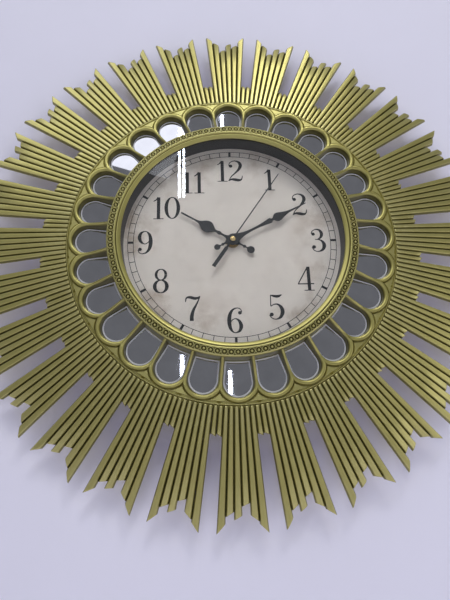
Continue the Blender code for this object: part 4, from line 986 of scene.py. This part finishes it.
# Strokes of each digit in a box one unit high: (x, y, width) points. Balls are (x, y, radius).
STROKES = {
    "0": (0.52, [], []),
    "1": (0.40, [], [
        [(0.05, 0.80, 0.03), (0.13, 0.87, 0.05), (0.20, 0.985, 0.06)],
        [(0.21, 0.985, 0.125), (0.21, 0.5, 0.125), (0.21, 0.01, 0.125)],
        [(0.05, 0.016, 0.032), (0.37, 0.016, 0.032)]]),
    "2": (0.54, [(0.105, 0.735, 0.075)], [
        [(0.045, 0.76, 0.03), (0.07, 0.88, 0.035), (0.16, 0.965, 0.04), (0.26, 0.98, 0.05),
         (0.375, 0.91, 0.1), (0.42, 0.76, 0.135), (0.37, 0.59, 0.105), (0.26, 0.42, 0.065),
         (0.12, 0.24, 0.04), (0.035, 0.05, 0.03)],
        [(0.02, 0.03, 0.03), (0.12, 0.1, 0.08), (0.24, 0.085, 0.12), (0.36, 0.06, 0.11),
         (0.445, 0.11, 0.05), (0.475, 0.27, 0.03)]]),
    "3": (0.52, [(0.105, 0.775, 0.07), (0.1, 0.215, 0.075)], [
        [(0.045, 0.79, 0.03), (0.08, 0.9, 0.035), (0.19, 0.98, 0.04), (0.31, 0.94, 0.085),
         (0.37, 0.79, 0.125), (0.33, 0.635, 0.09), (0.24, 0.55, 0.035), (0.15, 0.535, 0.03)],
        [(0.15, 0.535, 0.03), (0.28, 0.53, 0.045), (0.385, 0.43, 0.1), (0.42, 0.27, 0.14),
         (0.365, 0.1, 0.1), (0.23, 0.02, 0.04), (0.11, 0.06, 0.035), (0.035, 0.2, 0.03)]]),
    "4": (0.54, [], [
        [(0.35, 0.99, 0.12), (0.35, 0.5, 0.12), (0.35, 0.01, 0.12)],
        [(0.33, 0.97, 0.045), (0.02, 0.29, 0.04)],
        [(0.01, 0.28, 0.045), (0.5, 0.28, 0.045)],
        [(0.19, 0.016, 0.032), (0.5, 0.016, 0.032)]]),
    "5": (0.53, [(0.1, 0.205, 0.075)], [
        [(0.09, 0.975, 0.035), (0.2, 0.935, 0.09), (0.32, 0.925, 0.1), (0.43, 0.985, 0.035)],
        [(0.095, 0.97, 0.035), (0.085, 0.53, 0.035)],
        [(0.085, 0.52, 0.03), (0.18, 0.6, 0.04), (0.3, 0.6, 0.06), (0.4, 0.47, 0.12),
         (0.425, 0.29, 0.14), (0.36, 0.1, 0.1), (0.23, 0.02, 0.04), (0.11, 0.06, 0.035),
         (0.035, 0.19, 0.03)]]),
    "6": (0.53, [(0.4, 0.79, 0.07)], [
        [(0.46, 0.81, 0.03), (0.42, 0.93, 0.035), (0.33, 0.98, 0.035), (0.2, 0.92, 0.07),
         (0.11, 0.74, 0.12), (0.08, 0.47, 0.145), (0.11, 0.2, 0.11), (0.19, 0.05, 0.05),
         (0.27, 0.02, 0.035)],
        [(0.27, 0.02, 0.035), (0.375, 0.09, 0.09), (0.425, 0.27, 0.135), (0.38, 0.46, 0.1),
         (0.28, 0.56, 0.04), (0.18, 0.52, 0.035), (0.11, 0.4, 0.03)]]),
    "7": (0.50, [], [
        [(0.035, 0.76, 0.03), (0.06, 0.92, 0.06), (0.16, 0.95, 0.1), (0.3, 0.905, 0.11),
         (0.4, 0.925, 0.08), (0.465, 0.985, 0.035)],
        [(0.46, 0.97, 0.035), (0.37, 0.7, 0.06), (0.27, 0.45, 0.1), (0.22, 0.22, 0.13),
         (0.215, 0.02, 0.14)]]),
    "8": (0.52, [], []),
}
ROUND_STROKES = {
    "0": [(0.26, 0.5, 0.19, 0.475, 0.135)],
    "8": [(0.26, 0.755, 0.145, 0.22, 0.1), (0.26, 0.275, 0.18, 0.255, 0.13)],
}


THIN_STROKE = 0.035


def digit_parts(digit):
    """A digit's width, its balls and its strokes, each a line of (x, y, width) points."""
    if digit == "9":
        width, balls, strokes = digit_parts("6")
        turned = [[(width - 0.03 - x, 1 - y, w) for x, y, w in line] for line in strokes]
        return width, [(width - 0.03 - x, 1 - y, r) for x, y, r in balls], turned
    width, balls, strokes = STROKES[digit]
    lines = [smooth_line(line, 5) for line in strokes]
    for x, y, across, up, thick in ROUND_STROKES.get(digit, ()):
        loop = []
        for step in range(41):
            angle = TURN * step / 40
            weight = THIN_STROKE + (thick - THIN_STROKE) * abs(math.cos(angle)) ** 1.6
            loop.append((x + across * math.cos(angle), y + up * math.sin(angle), weight))
        lines.append(loop)
    return width, balls, lines


INK_LOW, INK_TOP = -0.05, 0.06  # the ink's back, in the paper, and its front
LINE_HALF, MINUTE_MARK_HALF, HOUR_MARK_HALF = 0.32, 0.38, 1.35  # half widths in the track
NUMERAL_WIDTH = 1.28  # how much wider the digits are than drawn above
STROKE_WEIGHT = 1.06
DIGIT_OVERLAP = 0.02  # how far two digits' boxes overlap
SIDE_SPACE = 0.03  # clear paper in a number's box at each side


def add_stroke(shape, line):
    """Add a stroke of changing width, as a thin layer of ink."""
    rings = []
    for index, (x, y, width) in enumerate(line):
        before, after = line[max(index - 1, 0)], line[min(index + 1, len(line) - 1)]
        along = Vector((after[0] - before[0], after[1] - before[1]))
        if index in (0, len(line) - 1) and line[0] == line[-1]:
            along = Vector((line[1][0] - line[-2][0], line[1][1] - line[-2][1]))
        side = Vector((-along.y, along.x)).normalized() * width / 2
        rings.append([(x + side.x, y + side.y, INK_LOW), (x - side.x, y - side.y, INK_LOW),
                      (x - side.x, y - side.y, INK_TOP), (x + side.x, y + side.y, INK_TOP)])
    shape.loft(rings)


def add_ink_disc(shape, x, y, radius, steps=20):
    """Add a round spot of ink."""
    outline = [(x + radius * math.cos(TURN * k / steps), y + radius * math.sin(TURN * k / steps))
               for k in range(steps)]
    shape.loft([[(a, b, INK_LOW) for a, b in outline], [(a, b, INK_TOP) for a, b in outline]])


def number_centre(angle, half_width, half_height, reach_out):
    """The middle of an upright number whose outer corner lies on the numerals' circle."""
    across, up = clock_point(1.0, angle)
    middle = abs(across) * half_width + abs(up) * half_height
    corner = half_width ** 2 + half_height ** 2
    return clock_point(math.sqrt(middle ** 2 - corner + reach_out ** 2) - middle, angle)


def add_number(shape, hour, height, reach_out):
    """Add an hour's number, upright in its place on the dial."""
    parts = [digit_parts(digit) for digit in str(hour)]
    wide = NUMERAL_WIDTH * height
    total = (sum(part[0] for part in parts) - DIGIT_OVERLAP * (len(parts) - 1)) * wide
    half_width = total / 2 - SIDE_SPACE * wide
    centre = number_centre(TURN * hour / 12, half_width, height / 2, reach_out)
    left = centre[0] - total / 2
    bottom = centre[1] - height / 2
    for width, balls, lines in parts:
        for line in lines:
            add_stroke(shape, [(left + x * wide, bottom + y * height, STROKE_WEIGHT * w * height)
                               for x, y, w in line])
        for x, y, radius in balls:
            add_ink_disc(shape, left + x * wide, bottom + y * height, radius * height)
        left += (width - DIGIT_OVERLAP) * wide


class CLOCK_OT_numerals(bpy.types.Operator):
    """Print the hour numerals on the dial"""

    bl_idname = "clock.numerals"
    bl_label = "Numerals"

    def execute(self, context):
        shape = Shape()
        for hour in range(1, 13):
            add_number(shape, hour, size("numeral_height"), size("numeral_reach"))
        make_piece("dial_numerals", shape, ["dial_ink"], crease=40)
        return {"FINISHED"}


class CLOCK_OT_minute_track(bpy.types.Operator):
    """Print the minute track round the dial"""

    bl_idname = "clock.minute_track"
    bl_label = "Minute Track"

    def execute(self, context):
        shape = Shape()
        inner, outer = TRACK_LINES
        for radius in TRACK_LINES:
            shape.lathe([(radius - LINE_HALF, INK_LOW), (radius + LINE_HALF, INK_LOW),
                         (radius + LINE_HALF, INK_TOP), (radius - LINE_HALF, INK_TOP)], 240)
        for minute, angle in enumerate(angles(60)):
            half = HOUR_MARK_HALF if minute % 5 == 0 else MINUTE_MARK_HALF
            shape.spoke(angle, inner, outer, ((half, INK_LOW), (half, INK_TOP)))
        make_piece("minute_track", shape, ["dial_ink"], crease=40)
        return {"FINISHED"}


# ---- Hands. The right half of each, pointing at 12 o'clock, in shares of the track's radius. ----

HOUR_HALF = (
    (0.0, -0.242), (0.02, -0.236), (0.034, -0.219), (0.037, -0.203), (0.03, -0.182), (0.016, -0.17),
    (0.007, -0.162), (0.008, -0.148), (0.017, -0.132), (0.008, -0.116), (0.008, -0.1),
    (0.012, -0.075), (0.028, -0.048), (0.05, -0.024), (0.0555, 0.0), (0.05, 0.024), (0.032, 0.046),
    (0.014, 0.08), (0.01, 0.125), (0.017, 0.142), (0.018, 0.16), (0.012, 0.182), (0.014, 0.205),
    (0.034, 0.232), (0.055, 0.258), (0.062, 0.288), (0.056, 0.32), (0.036, 0.352), (0.016, 0.384),
    (0.0095, 0.43), (0.009, 0.5), (0.0085, 0.585), (0.0, 0.592))
MINUTE_HALF = (
    (0.0, -0.206), (0.018, -0.2), (0.028, -0.186), (0.03, -0.172), (0.024, -0.156), (0.012, -0.146),
    (0.007, -0.137), (0.009, -0.124), (0.015, -0.113), (0.009, -0.1), (0.012, -0.08),
    (0.03, -0.056), (0.052, -0.028), (0.06, 0.0), (0.056, 0.026), (0.045, 0.052), (0.032, 0.085),
    (0.018, 0.14), (0.012, 0.22), (0.014, 0.3), (0.02, 0.37), (0.028, 0.425), (0.024, 0.44),
    (0.015, 0.447), (0.015, 0.466), (0.026, 0.476), (0.042, 0.494), (0.047, 0.515), (0.043, 0.54),
    (0.028, 0.58), (0.015, 0.63), (0.009, 0.69), (0.0065, 0.76), (0.004, 0.84), (0.0, 0.847))
SECOND_HALF = (
    (0.0, -0.345), (0.017, -0.343), (0.018, -0.33), (0.0178, -0.13), (0.016, -0.115), (0.01, -0.1),
    (0.009, -0.05), (0.008, 0.0), (0.0064, 0.06), (0.0056, 0.4), (0.0048, 0.85), (0.0, 0.855))
# Each hand's body and right half, its angle at rest in degrees, and the width of its edge slope
HANDS = (("hour", HOUR_HALF, 301.4, 0.32), ("minute", MINUTE_HALF, 62.3, 0.28),
         ("second", SECOND_HALF, 34.2, 0.14))
NEEDLE_THICKNESS = 0.5


def hand_outline(half, angle):
    """A hand's whole outline, turned to its place at rest."""
    right = [(x * TRACK, y * TRACK) for x, y in smooth_line(half, 3)]
    left = [(-x, y) for x, y in right[-2:0:-1]]
    return [turn_point(x, y, angle) for x, y in right + left]


class CLOCK_OT_hands(bpy.types.Operator):
    """Build the three hands and the second hand's brass boss"""

    bl_idname = "clock.hands"
    bl_label = "Hands"

    def execute(self, context):
        for body, half, angle, edge in HANDS:
            node = f"{body}_hand"
            low, high = heights(node)
            if body == "second":
                high = low + NEEDLE_THICKNESS
            shape = Shape()
            outline = hand_outline(half, math.radians(angle))
            shape.loft(raised(outline, low, high, edge, 0.25))
            make_piece(f"{body}_hand_blade", shape, ["black_hand"], body=body, replaces=[node],
                       crease=20)
        low, high = heights("second_hand")
        boss = Shape()
        foot = low + 0.2
        rise = high - low - 0.2
        section = [(0.0, 1.0), (1.1, 0.97), (2.0, 0.84), (2.7, 0.6), (3.05, 0.3), (3.1, 0.0)]
        boss.lathe([(radius, foot + rise * up) for radius, up in section]
                   + [(3.1, foot), (0.0, foot)], 40)
        make_piece("second_hand_boss", boss, ["brass"], body="second", crease=50)
        return {"FINISHED"}


# ---- Back of the clock ----

PAN_RIBS = 16
HANGER_BOSS = 22.0  # from the middle of the hanger plate to each boss that holds it


class CLOCK_OT_rear_pan(bpy.types.Operator):
    """Build the rear pan with its flange, ribs and hanger bosses"""

    bl_idname = "clock.rear_pan"
    bl_label = "Rear Pan"

    def execute(self, context):
        rim, top = heights("rear_pan")
        opening, flange = reach("rear_pan")
        inner, outer = DIAL_EDGE + 1.4, DIAL_EDGE + 3.4
        front = heights("dial")[0] - 0.3
        back = front - 2.0
        shape = Shape()
        shape.lathe([
            (inner, top), (flange - 0.4, top), (flange, top - 0.4), (flange, top - 1.5),
            (flange - 0.4, top - 1.9), (outer + 0.6, top - 1.9), (outer, top - 2.5),
            (outer, rim + 0.5), (outer - 0.5, rim), (outer - 6.0, rim), (outer - 6.3, rim + 0.3),
            (outer - 6.3, rim + 2.0), (inner, rim + 2.0), (inner, back), (opening + 2.2, back),
            (opening + 2.0, back - 3.0), (opening, back - 3.0), (opening, front), (inner, front),
        ], 224)
        ring, sunk = opening + 26.0, back + 0.2
        shape.lathe([(ring - 0.6, sunk), (ring + 0.6, sunk), (ring + 0.5, back - 2.2),
                     (ring - 0.5, back - 2.2)], 192)
        for rib in range(PAN_RIBS):
            angle = TURN * (rib + 0.5) / PAN_RIBS
            shape.spoke(angle, opening + 1.0, inner + 0.4, ((0.75, sunk), (0.6, back - 2.6)))
        low, high = heights("hanger_plate")
        hanger_y = middle_of("hanger_plate")[1]
        boss = [(0.0, sunk), (4.6, sunk), (4.3, high + 0.3), (1.8, high + 0.3), (1.8, low - 0.3),
                (3.0, low - 0.3), (3.2, low - 0.55), (2.6, low - 1.0), (0.0, low - 1.1)]
        for side in (-1, 1):
            shape.lathe(boss, 28, (side * HANGER_BOSS, hanger_y))
        make_piece("pan_shell", shape, ["black_plastic"], replaces=["rear_pan"], crease=34)
        return {"FINISHED"}


SCREW_HEAD, SCREW_HEAD_HEIGHT = 3.0, 2.0  # radius and height


def screw_head(x, y):
    """The height of a screw head's surface, with a cross recess."""
    out = math.hypot(x, y) / SCREW_HEAD
    dome = SCREW_HEAD_HEIGHT * math.sqrt(max(0.0, 1 - 0.8 * out * out))
    near, far = sorted((abs(x) / SCREW_HEAD, abs(y) / SCREW_HEAD))
    return dome - (0.45 * SCREW_HEAD_HEIGHT if near < 0.17 and far < 0.6 else 0.0)


class CLOCK_OT_screws(bpy.types.Operator):
    """Build the cross-head screws that hold the rear pan"""

    bl_idname = "clock.screws"
    bl_label = "Pan Screws"

    def execute(self, context):
        heads = (0.0, 0.14, 0.2, 0.3, 0.45, 0.57, 0.63, 0.8, 0.92, 1.0)  # shares of the radius
        for number, node in enumerate(SCREW_NODES):
            x, y, _ = middle_of(node)
            low, high = heights(node)
            seat = low + SCREW_HEAD_HEIGHT
            rows = [(out, None) for out in heads]
            rows += [(1.0, seat), (0.4, seat), (0.4, high - 1.2), (0.05, high)]
            rings = []
            for out, height in rows:
                ring = []
                for angle in angles(48):
                    dx, dy = SCREW_HEAD * out * math.cos(angle), SCREW_HEAD * out * math.sin(angle)
                    level = seat - screw_head(dx, dy) if height is None else height
                    ring.append((x + dx, y + dy, level))
                rings.append(ring)
            shape = Shape()
            shape.loft(rings)
            make_piece(f"cross_screw_{number + 1}", shape, ["steel"], replaces=[node], crease=40)
        return {"FINISHED"}


class CLOCK_OT_case_trim(bpy.types.Operator):
    """Build the raised ribs, latches and polarity marks on the back of the movement's case"""

    bl_idname = "clock.case_trim"
    bl_label = "Movement Case Trim"

    def execute(self, context):
        low_corner, high_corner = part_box("movement_back_case")
        left, right = low_corner.x / MM, high_corner.x / MM
        top = high_corner.z / MM
        back = heights("movement_back_case")[0]
        knob_x, knob_y, _ = middle_of("set_knob")
        battery_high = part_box("battery")[1].z / MM
        shape = Shape()
        proud = 0.5

        def mark(corners, height, edge):
            rings = raised(corners, -back - 0.1, -back + height, edge, edge)
            shape.loft([[(x, y, -up) for x, y, up in ring] for ring in rings])

        def block(x0, y0, x1, y1, height=proud):
            mark([(x0, y0), (x1, y0), (x1, y1), (x0, y1)], height, 0.18)

        for offset in (2.0, 3.6):
            block(left + offset, top - offset - 0.6, right - offset, top - offset)
            block(left + offset, battery_high + 1.6, left + offset + 0.6, top - offset - 0.6)
            block(right - offset - 0.6, battery_high + 1.6, right - offset, top - offset - 0.6)
        for row in range(6):
            y = battery_high + 5.2 + row * 1.7
            block(left + 7.0, y, left + 19.0, y + 0.8)
        section = [(7.0, back + 0.1), (7.7, back + 0.1), (7.6, back - proud), (7.1, back - proud)]
        shape.lathe(section, 48, (knob_x, knob_y))
        arrow_y = knob_y + 10.0
        block(knob_x - 3.2, arrow_y - 0.35, knob_x + 3.2, arrow_y + 0.35)
        for side in (-1, 1):
            tip = knob_x + side * 4.4
            heel = tip - side * 2.2
            mark([(tip, arrow_y), (heel, arrow_y + 1.5), (heel, arrow_y - 1.5)], proud, 0.2)
        for x in (left + 9.0, right - 9.0):
            block(x - 1.6, battery_high + 2.6, x + 1.6, battery_high + 3.2)
        block(right - 9.3, battery_high + 1.3, right - 8.7, battery_high + 4.5)
        for side_x in (left, right - 3.0):
            block(side_x, top - 12.0, side_x + 3.0, top - 6.0, 0.8)
        make_piece("case_trim", shape, ["grey_plastic"], crease=30)
        return {"FINISHED"}


class CLOCK_OT_battery(bpy.types.Operator):
    """Build the battery with its jacket, band and steel ends"""

    bl_idname = "clock.battery"
    bl_label = "Battery"

    def execute(self, context):
        low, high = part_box("battery")
        left, right = low.x / MM, high.x / MM
        _, y, height = middle_of("battery")
        radius = (high.z - low.z) / MM / 2
        band = right - 14.0  # where the jacket's coloured band begins
        sections = (
            (0, ((radius * 0.9, left + 0.3), (radius - 0.15, left + 0.25), (radius, left + 0.6),
                 (radius, band))),
            (1, ((radius, band), (radius, right - 3.0), (radius - 0.15, right - 1.65),
                 (radius - 0.9, right - 1.5))),
            (2, ((0.0, left), (radius * 0.62, left), (radius * 0.7, left + 0.35),
                 (radius * 0.9, left + 0.3))),
            (2, ((radius - 0.9, right - 1.5), (radius * 0.55, right - 1.7), (2.9, right - 1.4),
                 (2.7, right - 0.3), (2.4, right), (0.0, right))),
        )
        shape = Shape()
        for look, section in sections:
            rows = []
            for out, x in section:
                rows.append([(x, y + out * math.cos(angle), height + out * math.sin(angle))
                             for angle in (*angles(56), TURN)])
            shape.sheet(rows, look)
        make_piece("battery_cell_aa", shape, ["battery_jacket", "jacket_band", "steel"],
                   body="battery_cell", replaces=["battery"], crease=40)
        return {"FINISHED"}


KNOB_FLUTES = 24


class CLOCK_OT_set_knob(bpy.types.Operator):
    """Build the fluted knob that sets the hands"""

    bl_idname = "clock.set_knob"
    bl_label = "Setting Knob"

    def execute(self, context):
        x, y, _ = middle_of("set_knob")
        low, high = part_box("set_knob")
        radius = (high.x - low.x) / MM / 2
        back, front = heights("set_knob")
        stem_end = min(front, back + 6.0)
        levels = ((0.0, back + 0.35), (0.55, back + 0.35), (0.6, back), (0.88, back),
                  (1.0, back + 0.3), (1.0, back + 1.6), (0.92, back + 1.9), (0.2, back + 1.9),
                  (0.12, stem_end), (0.0, stem_end))
        rings = []
        for out, height in levels:
            ring = []
            for angle in angles(96):
                flute = 1.0 - (0.045 * (1 + math.cos(KNOB_FLUTES * angle)) if out > 0.9 else 0.0)
                px, py = clock_point(radius * out * flute, angle)
                ring.append((x + px, y + py, height))
            rings.append(ring)
        shape = Shape()
        shape.loft(rings, capped=False)
        make_piece("fluted_knob", shape, ["white_nylon"], body="setting", replaces=["set_knob"],
                   crease=40)
        return {"FINISHED"}


class CLOCK_OT_cad_finishes(bpy.types.Operator):
    """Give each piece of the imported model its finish"""

    bl_idname = "clock.cad_finishes"
    bl_label = "Finishes of the Packed Model"

    def execute(self, context):
        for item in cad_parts.values():
            given = [material.name for material in item.data.materials if material]
            name = given[0].split(".")[0] if given else "steel"
            for place in item.material_slots:
                place.material = look_of(name)
        return {"FINISHED"}


# ---- Stage ----

# The camera's place in metres, and its right and up directions
CAMERA_PLACE = (-0.0311, -0.4975, -0.2353)
CAMERA_RIGHT = (0.99908, -0.03151, -0.02895)
CAMERA_UP = (0.01749, -0.31672, 0.94836)
CAMERA_LENS = 29.4
WALL_SPACE = 0.001  # between the clock's back and the wall
FLOOR_DROP = 0.35  # from the clock's lowest point down to the floor
# Each lamp's name, place, width, height, power and colour
ROOM_LAMPS = (
    ("key_lamp", (0.35, -1.3, 1.7), 0.5, 0.5, 8),
    ("sky_lamp", (-1.1, -2.0, 2.5), 2.4, 1.5, 23, (0.9, 0.92, 1.0)),
    ("fill_lamp", (1.5, -1.2, -0.3), 0.8, 1.2, 4),
)
REAR_LAMP = ("rear_lamp", (0.6, 1.6, 0.9), 1.2, 1.2, 30)
# The narrow lamps that show as streaks in the lens and the mirrors: x, z and length
TUBES = ((-0.113, 0.75, 0.25), (-0.098, 0.75, 0.25), (-0.106, 0.02, 0.12), (0.038, 0.93, 0.1),
         (0.038, -0.03, 0.12))
TUBE_Y, TUBE_WIDTH, TUBE_POWER = -0.98, 0.009, 1.1


def area_light(name, place, width, height, power, colour=(1, 1, 1), target=(0, 0, 0)):
    """A soft rectangular lamp that shines at a target."""
    data = bpy.data.lights.new(name, "AREA")
    data.shape = "RECTANGLE"
    data.size, data.size_y = width, height
    data.energy = power
    data.color = colour
    lamp = bpy.data.objects.new(name, data)
    bpy.context.scene.collection.objects.link(lamp)
    lamp.location = place
    lamp.rotation_mode = "QUATERNION"
    lamp.rotation_quaternion = (Vector(target) - Vector(place)).to_track_quat("-Z", "Y")


WALL_PAINTED_SHADOW = (0.5, 0.49, 0.8)  # painted shadow: the wall's colour where the clock's shade falls on it
PAINTED_SHADOW_CORE, PAINTED_SHADOW_END = 0.23, 0.31  # distances from the hands' axis, in metres, over which the painted shadow fades out


def stage_look():
    """Pale matt paint with a painted shadow of the clock near it, and clear from the back and to the
    lamps there.
    """
    look, tree, shader = new_look("pale_wall", Specular_IOR_Level=0.2)
    grain = effect(tree, "fine_grain", Scale=600.0, Cloud_Scale=3.0)
    tone = mixed(tree, grain["Cloud"], shade(colours().wall, 0.97), colours().wall)
    # painted shadow: the wall made darker near the clock, where its shade falls
    painted_shadow = spread(tree, axis_distance(tree), PAINTED_SHADOW_CORE, PAINTED_SHADOW_END, 1.0, 0.0)
    tone = mixed(tree, painted_shadow, tone, WALL_PAINTED_SHADOW)
    finish(tree, shader, tone, grain["Grain"], (0.8, 0.9))
    back = add_node(tree, "NewGeometry", {}, "Backfacing")
    shadow = add_node(tree, "LightPath", {}, "Is Shadow Ray")
    clear_where(tree, shader, arithmetic(tree, "MAXIMUM", back, shadow))
    return look


class CLOCK_OT_stage(bpy.types.Operator):
    """Set up the camera, the pale wall and floor, and the soft lamps"""

    bl_idname = "clock.stage"
    bl_label = "Stage"

    def execute(self, context):
        look = stage_look()
        wall_y = CAD_BOX[1].y + WALL_SPACE
        floor_z = CAD_BOX[0].z - FLOOR_DROP
        planes = {
            "stage_wall": [(-3, wall_y, floor_z), (3, wall_y, floor_z), (3, wall_y, 3), (-3, wall_y, 3)],
            "stage_floor": [(-3, -4, floor_z), (3, -4, floor_z), (3, 3, floor_z), (-3, 3, floor_z)],
        }
        for name, corners in planes.items():
            mesh = bpy.data.meshes.new(name)
            mesh.from_pydata(corners, [], [(0, 1, 2, 3)])
            mesh.materials.append(look)
            plane = bpy.data.objects.new(name, mesh)
            context.scene.collection.objects.link(plane)
        world = bpy.data.worlds.new("studio")
        world.use_nodes = True
        world.node_tree.nodes["Background"].inputs["Color"].default_value = (0.86, 0.88, 0.94, 1)
        world.node_tree.nodes["Background"].inputs["Strength"].default_value = 0.32
        context.scene.world = world
        for lamp in ROOM_LAMPS:
            area_light(*lamp)
        for number, (x, z, length) in enumerate(TUBES):
            area_light(f"tube_lamp_{number + 1}", (x, TUBE_Y, z), TUBE_WIDTH, length,
                       TUBE_POWER * length, (0.8, 0.86, 1.0), (x / 2, 0, 0.1 * z))
        area_light(*REAR_LAMP)
        data = bpy.data.cameras.new("camera")
        data.lens = CAMERA_LENS
        camera = bpy.data.objects.new("camera", data)
        context.scene.collection.objects.link(camera)
        right, up = Vector(CAMERA_RIGHT), Vector(CAMERA_UP)
        turn = Matrix((right, up, right.cross(up))).transposed().to_4x4()
        camera.matrix_world = Matrix.Translation(CAMERA_PLACE) @ turn
        context.scene.camera = camera
        context.scene.view_settings.view_transform = "Standard"
        return {"FINISHED"}


class CLOCK_PT_sidebar(bpy.types.Panel):
    """The clock's sizes, colours and pieces"""

    bl_idname = "CLOCK_PT_sidebar"
    bl_label = "Sunburst Clock"
    bl_space_type = "VIEW_3D"
    bl_region_type = "UI"
    bl_category = "Clock"

    def draw(self, context):
        layout = self.layout
        for group in (context.scene.clock_sizes, context.scene.clock_colours):
            column = layout.column()
            for name in group.__annotations__:
                column.prop(group, name)
        for operator in PIECE_OPERATORS:
            layout.operator(operator.bl_idname)


PIECE_OPERATORS = (
    CLOCK_OT_bezel, CLOCK_OT_beads, CLOCK_OT_petal_rims, CLOCK_OT_rays, CLOCK_OT_mirrors,
    CLOCK_OT_window, CLOCK_OT_dial, CLOCK_OT_numerals, CLOCK_OT_minute_track, CLOCK_OT_hands,
    CLOCK_OT_rear_pan, CLOCK_OT_screws, CLOCK_OT_case_trim, CLOCK_OT_battery, CLOCK_OT_set_knob,
    CLOCK_OT_cad_finishes, CLOCK_OT_stage,
)
CLASSES = (ClockSizes, ClockColours, *PIECE_OPERATORS, CLOCK_PT_sidebar)


def register():
    """Register the classes and the scene's clock settings."""
    for item in CLASSES:
        bpy.utils.register_class(item)
    bpy.types.Scene.clock_sizes = bpy.props.PointerProperty(type=ClockSizes)
    bpy.types.Scene.clock_colours = bpy.props.PointerProperty(type=ClockColours)


def unregister():
    """Remove the classes and the scene's clock settings."""
    del bpy.types.Scene.clock_colours
    del bpy.types.Scene.clock_sizes
    for item in reversed(CLASSES):
        bpy.utils.unregister_class(item)


def main():
    """Build every piece in order."""
    register()
    bpy.ops.clock.bezel()
    bpy.ops.clock.beads()
    bpy.ops.clock.petal_rims()
    bpy.ops.clock.rays()
    bpy.ops.clock.mirrors()
    bpy.ops.clock.window()
    bpy.ops.clock.dial()
    bpy.ops.clock.numerals()
    bpy.ops.clock.minute_track()
    bpy.ops.clock.hands()
    bpy.ops.clock.rear_pan()
    bpy.ops.clock.screws()
    bpy.ops.clock.case_trim()
    bpy.ops.clock.battery()
    bpy.ops.clock.set_knob()
    bpy.ops.clock.cad_finishes()
    bpy.ops.clock.stage()


if __name__ == "__main__":
    main()
